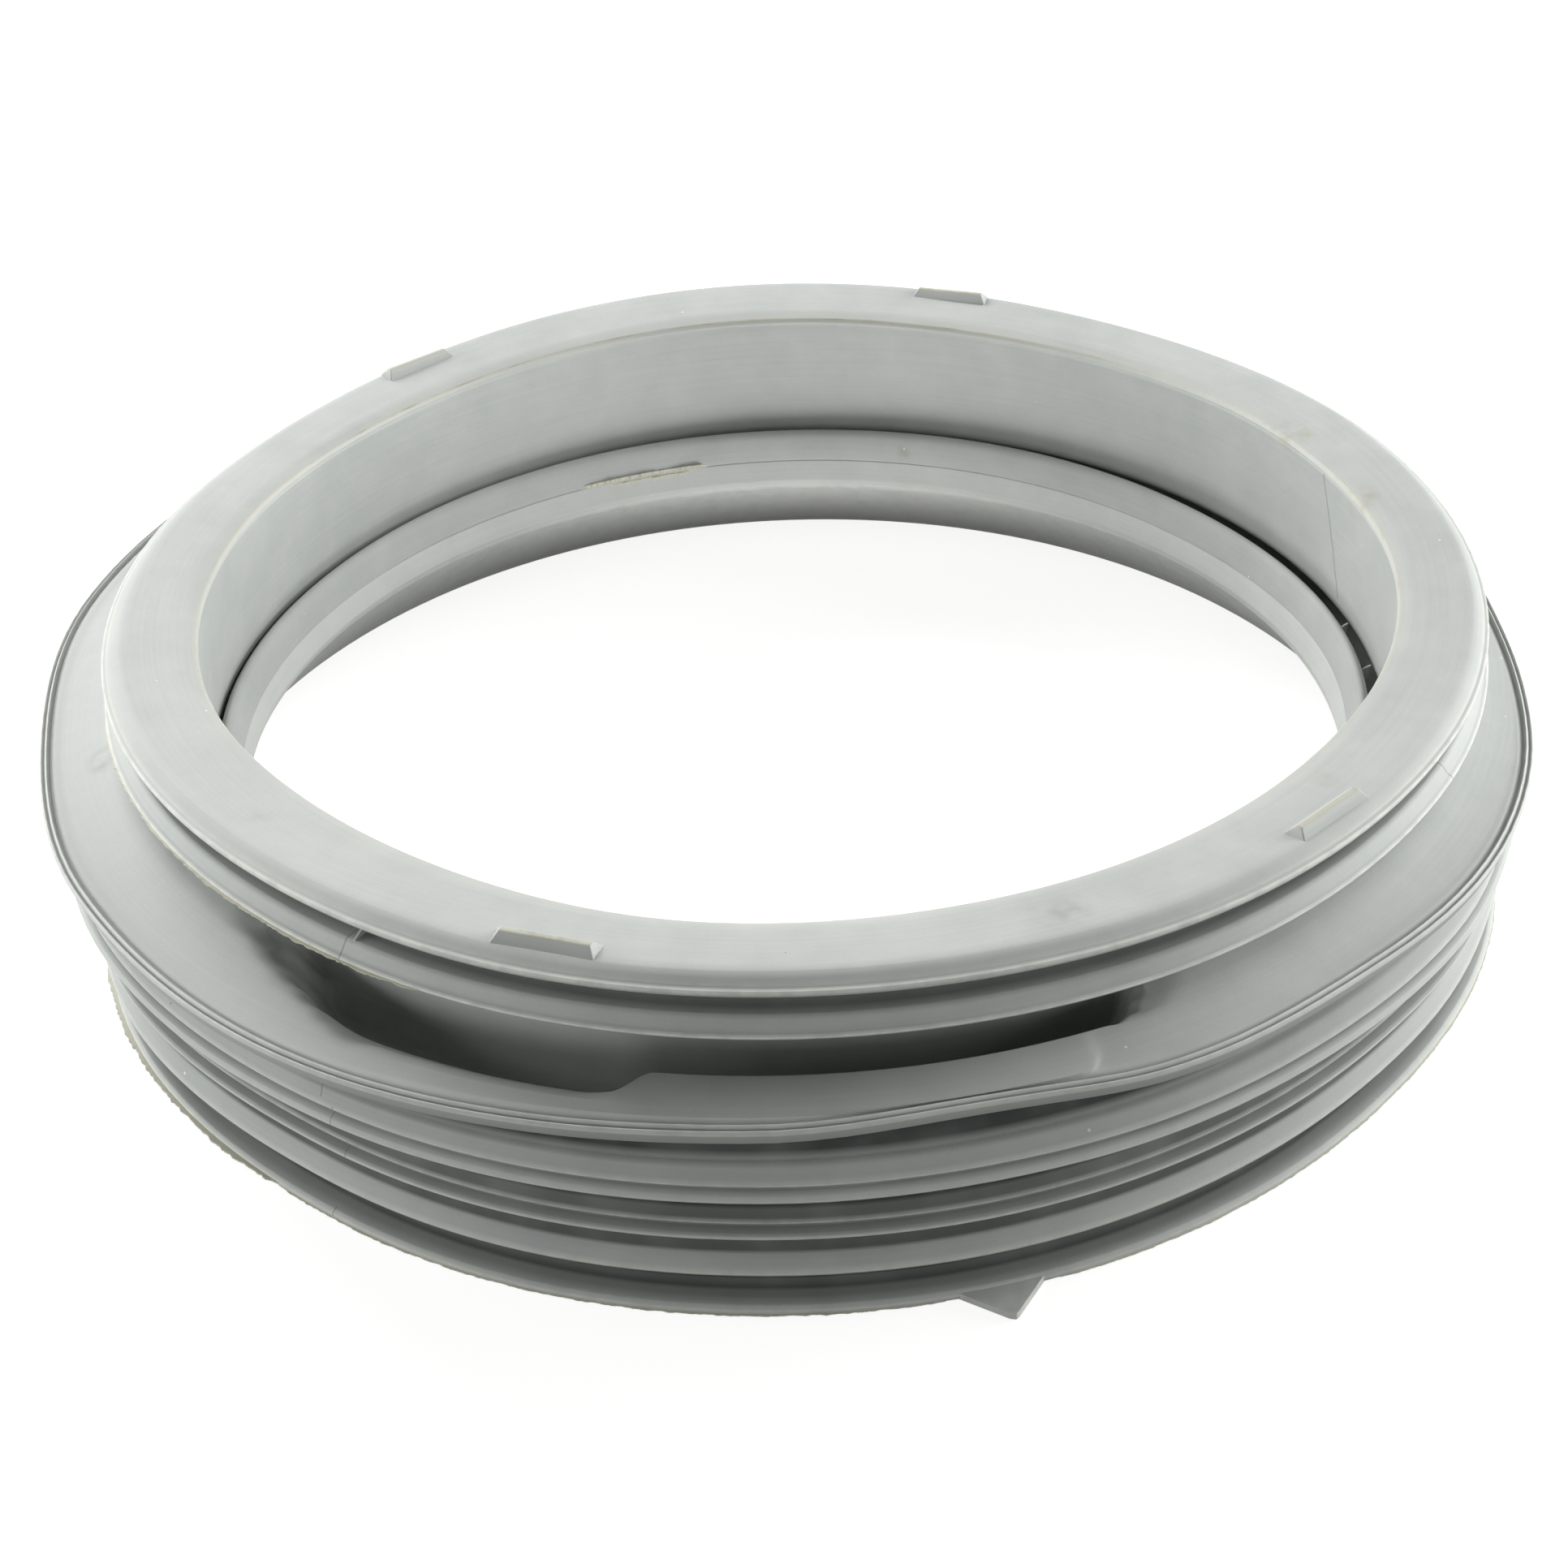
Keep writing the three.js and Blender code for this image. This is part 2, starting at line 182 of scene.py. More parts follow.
# Deep values paint shade into the groove and under the lower lip.
groove = [
    Corner(GROOVE + 1.6, GROOVE_Z - 0.1, 1.6, deep=0.6),
    Corner(GROOVE, GROOVE_Z - 2.0, 1.4, deep=0.8),
    Corner(GROOVE, LOW_LIP_Z + 1.9, 1.5, deep=0.8),
    Corner(GROOVE + 2.6, LOW_LIP_Z + 0.1, 2.2, deep=0.5),
]
lower_lip = [
    Corner(LOW_LIP - 3.5, LOW_LIP_Z + 0.15, 0.35, edge=0.15),
    Corner(LOW_LIP - 2.7, LOW_LIP_Z - 0.35, 0.3, edge=0.2),
    Corner(LOW_LIP - 1.1, LOW_LIP_Z - 2.35, 0.5),
    Corner(LOW_LIP - 0.35, LOW_LIP_Z - 2.65, 0.15, edge=0.5),
    Corner(LOW_LIP, LOW_LIP_Z - 3.1, 0.12, edge=1.0),
    Corner(LOW_LIP - 0.3, LOW_LIP_Z - 3.7, 0.2, edge=0.4),
    Corner(LOW_LIP - 2.2, LOW_LIP_Z - 4.2, 0.6, deep=0.5),
    Corner(GROOVE + 2.6, SHOULDER_Z + 1.9, 1.0, deep=0.5),
]
held(flange + groove + lower_lip, top=1.0)
print(len(flange + groove + lower_lip), "corners in the clip")

# %% [markdown]
# ### Shoulder and pocket
# The shoulder is a smooth cone that flares from the lower lip out to the rim. At the front a
# pocket is sunk into it. Each shoulder corner therefore has two places, one on the cone and one
# in the pocket, and the section slides between them. The pocket's outer edge is round on the left
# and crisp on the right, so its softness depends on the angle too.

# %% Where the pocket lies
POCKET_START, START_SLANT, START_RUN = 222.4, 0.94, 3.0
POCKET_END, END_SLANT, END_RUN = 295.3, 0.29, 1.2
STEP_ANGLE = 259.5
RUN = RIM - GROOVE
FLOOR_Z = SHOULDER_Z - POCKET_DEPTH
UNDER_Z = FLOOR_Z - WALL
INNER = GROOVE - 0.8
FOLD_IN = UPPER - UPPER_FOLD - WALL
# How strongly shade is painted in the pocket, on the front of the shoulder and on the inner wall's sides.
POCKET_SHADE, INSIDE_SHADE = 0.35, 0.3
FRONT_SHADE = (0.45, 0.5, 0.5, 0.3)


def cone(r):
    t = (r - GROOVE) / RUN
    return SHOULDER_Z - SHOULDER_DROP * t - 0.7 * np.sin(pi * t)


def pocket_edge(angle):
    return RIM - POCKET_INSET - POCKET_STEP * step(angle, STEP_ANGLE - 1.2, STEP_ANGLE + 1.0)


def right_part(angle):
    return step(angle, STEP_ANGLE - 3.5, STEP_ANGLE + 0.5)


def to_pocket(off_left, z_left, off_right, z_right):
    """A corner on the pocket's outer wall, held off its edge: left part and right part."""
    def place(angle):
        right = right_part(angle)
        return pocket_edge(angle) + mix(off_left, off_right, right), mix(z_left, z_right, right)
    return place


def soft_edge(angle):
    return mix(2.2, 0.3, right_part(angle))


def fixed(r, z):
    return lambda angle: (r + 0 * angle, z + 0 * angle)


print("pocket floor", round(FLOOR_Z, 1), "mm up")

# %% Shoulder corners, on the cone and in the pocket
def on_shoulder(r, soft, to, drop=0.0, slide=0.0, hidden=False):
    """Slide moves a corner along the cone towards the pocket's right end."""
    t = (r - GROOVE) / RUN
    corner = Corner(r, cone(r) - drop, soft, TOP_LEAN * (1 - t), to, hidden)
    corner.top, corner.rim, corner.slide = 1 - t, t, slide
    # Painted shade in the pocket on the inner corners of the shoulder.
    corner.sunk = POCKET_SHADE * (1 - step(r, GROOVE + 12, GROOVE + 17.5))
    return corner


shoulder = [
    on_shoulder(GROOVE + 1.8, 1.0, fixed(INNER, SHOULDER_Z - 3), slide=-0.5),
    on_shoulder(GROOVE + 4.6, 2.0, fixed(INNER - 0.4, FLOOR_Z + 9), slide=-1.9),
    on_shoulder(GROOVE + 7.2, 2.0, fixed(INNER + 2.2, FLOOR_Z + 1.6), slide=-3.0),
    on_shoulder(GROOVE + 9.8, 2.0, to_pocket(-8.0, FLOOR_Z, -6.0, FLOOR_Z), slide=-3.0),
    on_shoulder(GROOVE + 12.2, 1.8, to_pocket(-6.4, FLOOR_Z + 9, -1.5, FLOOR_Z + 5), slide=-1.9),
    on_shoulder(GROOVE + 14.6, 1.2, to_pocket(-4.2, RIM_Z - 2.8, -0.9, RIM_Z - 4), slide=-3.3),
    on_shoulder(GROOVE + 16.6, 1.2, to_pocket(-1.8, RIM_Z - 1.2, -0.5, RIM_Z), slide=-4.7),
    on_shoulder(GROOVE + 18.6, soft_edge, to_pocket(0.8, RIM_Z + 2.3, 0.4, RIM_Z + 3.6), slide=-6.0),
    on_shoulder(RIM - 5.2, 1.6, fixed(RIM - 4.8, RIM_Z + 1.5), slide=-2.9),
]
# Painted shade on the front of the shoulder, where the flange's shadow falls.
for corner, front in zip(shoulder[5:], FRONT_SHADE):
    corner.front = front
print(len(shoulder), "corners on the shoulder")

# %% [markdown]
# ### Rim and folded wall
# The rim carries two fine beads with a furrow between them. Below it the wall folds inwards and
# out again twice, like a bellows, so that the tub can swing. Just above each fold's edge the
# mould's inserts met and left a fine fin with a furrow under it. A single thin line runs half way
# down the wall. All of them are real relief of up to a millimetre, since a bump can't throw shade.

# %% Rim and folded wall
# Deep values paint shade under the rim's beads and under its overhang.
rim = held([
    Corner(RIM - 3.5, RIM_Z + 1.0, 0.8, 0),
    Corner(RIM - 2.7, RIM_Z + 0.35, 0.2, 0, deep=0.25),
    Corner(RIM - 1.8, RIM_Z + 1.45, 0.3, 0, edge=0.75),
    Corner(RIM - 1.1, RIM_Z + 0.35, 0.12, 0, deep=0.4),
    Corner(RIM - 0.45, RIM_Z + 1.0, 0.25, 0, edge=1.0),
    Corner(RIM, RIM_Z + 0.1, 0.2, 0, edge=0.7),
    Corner(RIM - 0.35, RIM_Z - 0.8, 0.3, 0, stain=0.3, deep=0.25),
    Corner(RIM - 0.8, RIM_Z - 2.7, 0.25, 0, stain=0.3, deep=0.35),
    Corner(RIM - 1.2, RIM_Z - 3.0, 0.2, 0, deep=1.0),
    Corner(RIM - RIM_UNDERCUT + 0.4, RIM_Z - 4.6, 1.4, 0, deep=1.0),
], rim=1.0)

# Deep values paint shade into the upper fold's furrows and under its edge.
upper_fold = held([
    Corner(RIM - RIM_UNDERCUT - 0.6, RIM_Z - 8.0, 2.4, 0.2 * FOOT_LEAN, deep=1.0),
    Corner(UPPER - 4.1, UPPER_Z + 8.3, 0.4, 0.5 * FOOT_LEAN, deep=0.5),
    Corner(UPPER - 4.3, UPPER_Z + 7.95, 0.06, 0.5 * FOOT_LEAN, deep=0.5),
    Corner(UPPER - 3.85, UPPER_Z + 7.7, 0.3, 0.5 * FOOT_LEAN, deep=0.5),
    Corner(UPPER - 2.9, UPPER_Z + 5.4, 1.6, 0.8 * FOOT_LEAN, deep=0.14),
    Corner(UPPER - 1.5, UPPER_Z + 3.3, 0.2, edge=0.7),
    Corner(UPPER - 1.6, UPPER_Z + 2.95, 0.08, edge=0.45),
    Corner(UPPER - 2.4, UPPER_Z + 2.4, 0.15, deep=0.8),
    Corner(UPPER - 2.2, UPPER_Z + 2.0, 0.2, deep=0.5),
    Corner(UPPER - 0.5, UPPER_Z + 1.3, 0.3, edge=0.2),
    Corner(UPPER, UPPER_Z + 0.2, 0.2, edge=0.8, stain=0.3),
    Corner(UPPER - 0.3, UPPER_Z - 0.4, 0.15, stain=0.9, deep=1.0),
    Corner(UPPER - 1.4, UPPER_Z - 0.9, 0.3, stain=0.3, deep=0.9),
    Corner(UPPER - 5.2, UPPER_Z - 2.0, 1.4, deep=0.85),
    Corner(UPPER - UPPER_FOLD + 0.4, UPPER_Z - 3.8, 1.6, deep=1.0),
    Corner(UPPER - UPPER_FOLD, UPPER_Z - 7.2, 1.8, deep=1.0),
], rim=0.15, fold=1.0, rib=0.15)
held(upper_fold[5:], lean=FOOT_LEAN)

# Deep values paint shade into the lower fold's furrows and under its edge.
lower_fold = held([
    Corner(LOWER - 2.6, LOWER_Z + 4.9, 1.0, deep=0.8),
    Corner(LOWER - 1.5, LOWER_Z + 3.2, 0.2, edge=0.6, deep=0.4),
    Corner(LOWER - 1.6, LOWER_Z + 2.85, 0.08, edge=0.3, deep=0.6),
    Corner(LOWER - 2.6, LOWER_Z + 2.25, 0.15, deep=0.9),
    Corner(LOWER - 2.4, LOWER_Z + 1.7, 0.2, deep=0.6),
    Corner(LOWER - 0.45, LOWER_Z + 1.1, 0.3, edge=0.1, deep=0.45),
    Corner(LOWER, LOWER_Z + 0.1, 0.2, edge=0.8, stain=0.3),
    Corner(LOWER - 0.3, LOWER_Z - 0.45, 0.15, stain=0.9, deep=1.0),
    Corner(LOWER - 1.3, LOWER_Z - 0.95, 0.3, stain=0.3, deep=1.0),
    Corner(LOWER - LOWER_FOLD + 0.4, LOWER_Z - 2.2, 1.1, deep=0.9),
    Corner(LOWER - LOWER_FOLD, LOWER_Z - 5.0, 1.8, deep=0.85),
    Corner(LOWER - 1.4, CLAMP_Z + 2.4, 1.6, deep=0.1),
], lean=FOOT_LEAN, fold=0.6, rib=1.0)
print(len(rim + upper_fold + lower_fold), "corners in rim and wall")

# %% [markdown]
# ### Clamp groove, foot and door lip
# The lowest rib and the flat foot hold the clamp band between them. From the foot a sloping web
# leads inwards to the door lip, a thick bead that the door's glass presses on. The line where the
# two mould halves met runs round the middle of the bead.

# %% Clamp groove, foot and door lip
PARTING_Z = DOOR_BOTTOM + 9.9
# Deep values paint shade into the clamp groove.
clamp_groove = [
    Corner(LOWER, CLAMP_Z + 0.1, 0.3, edge=0.7, stain=0.5),
    Corner(LOWER - 0.3, CLAMP_Z - 0.7, 0.2, stain=1.0, deep=1.0),
    Corner(LOWER - 1.4, CLAMP_Z - CLAMP_RIB, 0.3, stain=0.3, deep=1.0),
    Corner(CLAMP + 1.6, FOOT + CLAMP_HEIGHT - 0.8, 1.1, deep=1.0),
    Corner(CLAMP, FOOT + CLAMP_HEIGHT - 2.6, 1.1, deep=0.9),
    Corner(CLAMP, FOOT + 1.6, 1.1, deep=1.0),
    Corner(CLAMP + 1.6, FOOT, 1.1, deep=0.8),
]
# The foot's edge values are painted light that brightens its lip and inner edge; its first corner has
# painted shade.
foot = [
    Corner(LOWER - 4.2, FOOT, 0.8, deep=0.35),
    Corner(LOWER - 0.9, FOOT - 0.15, 0.4, edge=0.3),
    Corner(LOWER, FOOT - 0.9, 0.3, edge=0.6, stain=0.35),
    Corner(LOWER, 0.5, 0.25, edge=0.45),
    Corner(LOWER - 0.6, 0, 0.2),
    Corner(FOOT_IN, 0, 1.0),
    Corner(FOOT_IN - 2.6, 1.5, 1.2, edge=0.8),
]
held(clamp_groove[:2], fold=0.6)
held(clamp_groove + foot, lean=FOOT_LEAN, rib=1.0)
# The web's edge values are painted light, where the lit sheet inside the ring brightens it.
door_lip = [
    Corner(DOOR + 7, DOOR_BOTTOM - 2.9, 1.6, edge=0.9),
    Corner(DOOR + 1.6, DOOR_BOTTOM + 0.1, 0.6, edge=0.6),
    Corner(DOOR, DOOR_BOTTOM + 2.8, 0.6, stain=0.3),
    Corner(DOOR + 0.25, PARTING_Z - 0.3, 0.12),
    Corner(DOOR + 0.75, PARTING_Z, 0),
    Corner(DOOR + 0.1, PARTING_Z + 0.25, 0.2),
    Corner(DOOR + 0.6, DOOR_Z - 5.4, 2.4),
    Corner(DOOR + 1.7, DOOR_Z - 1.3, 1.6),
    Corner(DOOR + DOOR_THICK - 1.6, DOOR_Z + 0.1, 1.4),
    Corner(DOOR + DOOR_THICK, DOOR_Z - 1.8, 1.4),
    Corner(DOOR + DOOR_THICK, DOOR_BOTTOM + 11, 1.6),
    Corner(DOOR + 6, DOOR_BOTTOM + 4, 0),
    Corner(DOOR + 8.6, DOOR_BOTTOM, 0),
]
held(door_lip, lean=FOOT_LEAN)
for corner in door_lip[1:11]:
    corner.lip = step(corner.z, DOOR_BOTTOM - 3, DOOR_BOTTOM + 8)
print("door lip from", DOOR_BOTTOM, "to", round(DOOR_Z, 1), "mm")

# %% [markdown]
# ### Hollow side and skirt
# Behind the wall the seal is hollow, open through the slot between the door lip and the skirt.
# The hollow side is never seen, so its corners stay plain. The skirt is the inner wall that hangs
# from the mouth. It tucks back a little under the mouth's edge, which draws the thin dark line
# that can be seen across the ring.

# %% Hollow side and skirt
FOLD_BACK = RIM - RIM_UNDERCUT - WALL - 0.6
UNDER_SHOULDER = [(17.6, FOLD_IN - 3.6, UNDER_Z), (14.8, FOLD_IN - 5.2, UNDER_Z),
                  (12, FOLD_IN - 6.8, UNDER_Z), (9, FOLD_IN - 8.6, UNDER_Z),
                  (6, INNER + 1.6, UNDER_Z), (3, INNER - 1.8, UNDER_Z + 1.8)]
hollow = [
    Corner(FOOT_IN - 1, FOOT + WEB),
    Corner(CLAMP - WALL, FOOT + WEB + 1),
    Corner(CLAMP - WALL, CLAMP_Z - 1),
    Corner(LOWER - LOWER_FOLD - WALL, LOWER_Z - 7.4),
    Corner(LOWER - LOWER_FOLD - WALL, LOWER_Z - 1.6),
    Corner(FOLD_IN, UPPER_Z - 6.6),
    Corner(UPPER - 5.6, UPPER_Z + 2.4, 0, FOOT_LEAN, fixed(FOLD_IN, UNDER_Z - 1.8), True),
    Corner(FOLD_BACK, RIM_Z - 8, 0, 0.2 * FOOT_LEAN, fixed(FOLD_IN - 0.6, UNDER_Z - 0.6), True),
    Corner(RIM - RIM_UNDERCUT, RIM_Z - 1.4, 0, 0, fixed(FOLD_IN - 2, UNDER_Z), True),
    *[on_shoulder(GROOVE + across, 0, fixed(r, z), WALL, hidden=True)
      for across, r, z in UNDER_SHOULDER],
    Corner(GROOVE - 1.4, SHOULDER_Z - 3.4, 0, TOP_LEAN, fixed(INNER - WALL, SHOULDER_Z - 8), True),
]
held(hollow[:6], lean=FOOT_LEAN)
skirt = held([
    Corner(MOUTH + SKIRT_THICK + 3, SHOULDER_Z - 3.4, 0),
    Corner(MOUTH + SKIRT_THICK + 1.2, SHOULDER_Z - 5, 0),
    Corner(MOUTH + SKIRT_FLARE + SKIRT_THICK - 0.4, SKIRT_Z + 2, 0.6),
    Corner(MOUTH + SKIRT_FLARE + SKIRT_THICK / 2, SKIRT_Z, 0.8),
    Corner(MOUTH + SKIRT_FLARE + 0.1, SKIRT_Z + 1.4, 0.8),
    Corner(MOUTH + 0.7, LIP_Z - 3.4, 0.6),
    Corner(MOUTH + 0.75, LIP_Z - 1.7, 0.15),
], top=1.0)

# Painted shade on the sides of the inner wall and the door lip, fading out at the back.
held(skirt[4:6] + door_lip[4:9], sides=INSIDE_SHADE)
outline = (flange + groove + lower_lip + shoulder + rim + upper_fold + lower_fold
           + clamp_groove + foot + door_lip + hollow + skirt)
print(len(outline), "corners in the section")

# %% [markdown]
# ## Sweeping the section
# The sections stand closer together where the pocket begins, steps and ends, and wider apart on
# the plain part of the ring. Every corner becomes a short curve of a fixed number of points, so
# that neighbouring sections can be joined point by point with clean quads. Building the mesh in
# code keeps it closed and even, which a lathe modifier could not do with a changing section.

# %% Place every corner at every angle
STRETCHES = [(210, 222, 10), (222, 244, 44), (244, 256, 7), (256, 263, 18), (263, 288, 12),
             (288, 299, 34), (299, 570, 128)]
angles = np.concatenate([np.linspace(a, b, n, endpoint=False) for a, b, n in STRETCHES])


def pocket_share(angle, corner):
    """How far a corner has moved from the plain section into the pocket, from 0 to 1."""
    if corner.to is None:
        return 0 * angle
    if corner.hidden:
        return step(angle, 217, 225) * (1 - step(angle, 295, 300))
    across = corner.r - GROOVE
    crisp = POCKET_START + START_SLANT * across
    end = POCKET_END - END_SLANT * (across + corner.slide)
    sagging = step(angle, crisp - 8.8 + 0.4 * across, crisp)
    opened = 0.10 * sagging + 0.90 * step(angle, crisp - 0.3, crisp + START_RUN)
    closed = 0.05 * (1 - step(angle, end, end + 4.0)) + 0.95 * (1 - step(angle, end - END_RUN, end))
    return opened * closed


def place_corners(angle):
    """Radius, height, lean and softness of each corner at each angle, in millimetres."""
    follow = step(angle, STEP_ANGLE - 3, STEP_ANGLE + 2) * (1 - step(angle, 300, 325))
    radius, height, lean, soft = [], [], [], []
    for corner in outline:
        share = pocket_share(angle, corner)
        r1 = corner.r + corner.slide * follow
        z1 = corner.z + (cone(r1) - cone(corner.r) if corner.slide else 0)
        r2, z2 = corner.to(angle) if corner.to else (r1, z1)
        r = mix(r1, r2, share)
        z = mix(z1, z2, share)
        r = r + corner.rim * (1 - share) * waves(angle, RIM_WAVES)
        r = r + corner.fold * waves(angle, FOLD_WAVES) + corner.rib * waves(angle, RIB_WAVES)
        r = r + corner.lip * waves(angle, LIP_WAVES)
        out = step(corner.r, MOUTH, LIP)
        top_wave = mix(waves(angle, MOUTH_WAVES), waves(angle, FLANGE_WAVES), out)
        high = step(corner.z, SKIRT_Z, SHOULDER_Z)
        r = r + corner.top * high * (1 - share) * top_wave
        z = z + corner.top * high * (waves(angle, RISE_WAVES) + out * waves(angle, CROWN_WAVES))
        size = corner.soft(angle) if callable(corner.soft) else corner.soft
        radius.append(r)
        height.append(z)
        lean.append(corner.lean - TOP_LEAN * corner.slide * follow / RUN)
        soft.append(size + 0 * angle)
    return [np.stack(values, axis=1) for values in (radius, height, lean, soft)]


radius, height, lean, soft = place_corners(angles)
print(len(angles), "sections of", radius.shape[1], "corners")

# %% Round the corners
def arc_steps(corner):
    if callable(corner.soft) or corner.soft > 1.3:
        return 4
    if corner.soft > 0.55:
        return 3
    return 2 if corner.soft > 0.16 else 1 if corner.soft > 0 else 0


def rounded(radius, height, lean, soft):
    """Each corner becomes a small curve between its two straight neighbours."""
    places = np.stack([radius, height, lean], axis=2)
    before = np.roll(places, 1, axis=1)
    after = np.roll(places, -1, axis=1)
    gap_in = np.linalg.norm((before - places)[:, :, :2], axis=2) + 1e-9
    gap_out = np.linalg.norm((after - places)[:, :, :2], axis=2) + 1e-9
    cut_in = np.minimum(soft, 0.45 * gap_in) / gap_in
    cut_out = np.minimum(soft, 0.45 * gap_out) / gap_out
    first = places + (before - places) * cut_in[:, :, None]
    last = places + (after - places) * cut_out[:, :, None]
    rows, owners = [], []
    for i, corner in enumerate(outline):
        n = arc_steps(corner)
        if n == 0:
            rows.append(places[:, i])
            owners.append((i, 1.0))
            continue
        for k in range(n + 1):
            t = k / n
            curve = (1 - t) ** 2 * first[:, i] + 2 * t * (1 - t) * places[:, i] + t * t * last[:, i]
            rows.append(curve)
            owners.append((i, 1.0 if n == 1 else 1 - 0.6 * abs(2 * t - 1)))
    return np.stack(rows, axis=1), owners


rings, owners = rounded(radius, height, lean, soft)
print(rings.shape[1], "points in each section,", rings.shape[0] * rings.shape[1] * 2, "triangles")

# %% Build the ring
def ring_points(r, z, lean, angle):
    turn = np.radians(angle)
    return np.stack([r * np.cos(turn) + lean, r * np.sin(turn), z], axis=-1) * MM


def linked(name, data):
    """A new object with this mesh, lamp or camera, linked to the scene."""
    made = bpy.data.objects.new(name, data)
    bpy.context.collection.objects.link(made)
    return made


def mesh_piece(name, points, faces, stain=None, edge=None, deep=None, smooth=True):
    mesh = bpy.data.meshes.new(name)
    mesh.from_pydata([tuple(p) for p in points], [], faces)
    mesh.validate()
    mesh.update()
    for label, values in (("stain", stain), ("edge", edge), ("deep", deep)):
        if values is not None:
            layer = mesh.attributes.new(label, "FLOAT", "POINT")
            layer.data.foreach_set("value", np.asarray(values, dtype=np.float32))
    mesh.polygons.foreach_set("use_smooth", [smooth] * len(mesh.polygons))
    return linked(name, mesh)


def side_faces(count, size, closed=False):
    """Quads between neighbouring outlines; a closed run also joins its last outline to the first."""
    faces = []
    for i in range(count if closed else count - 1):
        n = (i + 1) % count
        for j in range(size):
            k = (j + 1) % size
            faces.append((i * size + j, i * size + k, n * size + k, n * size + j))
    return faces


def keep_flats_even(piece):
    piece.modifiers.new("keep flats even", "WEIGHTED_NORMAL").weight = 60


def closed_sweep(name, rings, angles, stain, edge, deep):
    count, size = rings.shape[:2]
    points = ring_points(rings[:, :, 0], rings[:, :, 1], rings[:, :, 2], angles[:, None])
    faces = side_faces(count, size, closed=True)
    marks = np.tile(stain, count), np.tile(edge, count), deep.ravel()
    return mesh_piece(name, points.reshape(-1, 3), faces, *marks)


stain = [outline[i].stain * share for i, share in owners]
edge = [outline[i].edge * share for i, share in owners]
# Where the painted shade on the front of the shoulder is centred, and where the back lies, at which the
# inner wall's sides have none.
FRONT_SHADE_AT, FRONT_SHADE_WIDTH = 266, 36
UNSHADED_BACK_AT, UNSHADED_BACK_WIDTH = 90, 65


def painted_shade_share(angle, corner):
    """How much painted shade darkens a corner: in creases, in the pocket, on the front shoulder and inside
    the ring.
    """
    away_from_back = 1 - hump(angle, UNSHADED_BACK_AT, UNSHADED_BACK_WIDTH)
    front_and_side_shade = corner.front * hump(angle, FRONT_SHADE_AT, FRONT_SHADE_WIDTH) + corner.sides * away_from_back
    return corner.deep + corner.sunk * right_part(angle) * pocket_share(angle, corner) + front_and_side_shade


deep = np.stack([painted_shade_share(angles, outline[i]) for i, _ in owners], axis=1)
seal = closed_sweep("seal_body", rings, angles, stain, edge, deep)
keep_flats_even(seal)
print(len(seal.data.polygons), "quads in the seal body")

# %% [markdown]
# ## Locating blocks
# Four small raised blocks on the flange tell the fitter where the seal's marked axis lies. Each
# is a low ridge with a narrow top and four sloped sides, and it follows the ring as a straight
# piece. A few corners and a small bevel modifier are enough for it. Its sides run on a little into
# the flange, so that no gap can show where the flange waves. Only the narrow top has yellowed.

# %% Build the four blocks
MARK, SPREAD = 281.8, 30.1
BLOCK_LENGTH, BLOCK_HEIGHT, BLOCK_TOP = 22.6, 1.8, 1.2
SLOPE_OUT, SLOPE_IN, SLOPE_END = 2.2, 2.0, 1.5
BLOCK_OUT = LIP - 4.2 - SLOPE_OUT
BLOCK_SUNK = 1.8


def on_ring(angle, r, along, z, lean):
    c, s = cos(radians(angle)), sin(radians(angle))
    return (MM * (r * c - along * s + lean), MM * (r * s + along * c), MM * z)


def ruled_block(name, angle, levels, lean, bevel, top_stain=0.0, crease_shade=None, pale=0.0):
    """Levels are lists of (radius, along, height) with the same number of corners."""
    points = [on_ring(angle, *corner, lean) for level in levels for corner in level]
    n, count = len(levels[0]), len(levels)
    faces = [tuple(range(n))[::-1], tuple((count - 1) * n + i for i in range(n))] + side_faces(count, n)
    stain = [top_stain if corner >= (count - 1) * n else 0.0 for corner in range(n * count)]
    deep = np.repeat(crease_shade, n) if crease_shade else None
    piece = mesh_piece(name, points, faces, stain, [pale] * (n * count), deep)
    rounding = piece.modifiers.new("soft edges", "BEVEL")
    rounding.width = bevel * MM
    rounding.segments = 3
    keep_flats_even(piece)
    return piece


def block_level(share, z):
    """One outline of a block: share 0 is its top, 1 is where it meets the flange."""
    half = BLOCK_LENGTH / 2 - SLOPE_END * (1 - share)
    inner, outer = BLOCK_OUT - BLOCK_TOP - SLOPE_IN * share, BLOCK_OUT + SLOPE_OUT * share
    return [(inner, -half, z), (outer, -half, z), (outer, half, z), (inner, half, z)]


def locating_block(name, angle):
    rise = float(waves(angle, RISE_WAVES) + 0.8 * waves(angle, CROWN_WAVES))
    shift = float(waves(angle, FLANGE_WAVES)) * 0.8
    top = CROWN_Z + BLOCK_HEIGHT + rise
    levels = [block_level(1.1, top - BLOCK_HEIGHT - BLOCK_SUNK)]
    levels += [block_level(share, top - (BLOCK_HEIGHT + 0.4) * share) for share in (1.0, 0.3, 0.0)]
    levels = [[(r + shift, along, z) for r, along, z in level] for level in levels]
    # The two lowest levels get painted shade, a dark line where the block meets the flange.
    return ruled_block(name, angle, levels, TOP_LEAN, 0.3, 0.9, crease_shade=(0.22, 0.2, 0.0, 0.0))


blocks = [locating_block(f"locating_block_{i}", MARK + side + turn)
          for i, (side, turn) in enumerate([(0, -SPREAD), (0, SPREAD), (180, -SPREAD), (179.5, SPREAD)])]
print(len(blocks), "locating blocks")

# %% [markdown]
# ## Arrow tab
# A flat tab on the foot's edge points outwards and marks which way up the seal is fitted. It is a
# low triangle with a slightly blunt tip, a little thinner than the foot that it grows from.

# %% Build the tab
TAB_ANGLE, TAB_WIDTH, TAB_REACH = 282.9, 22.5, 8.4


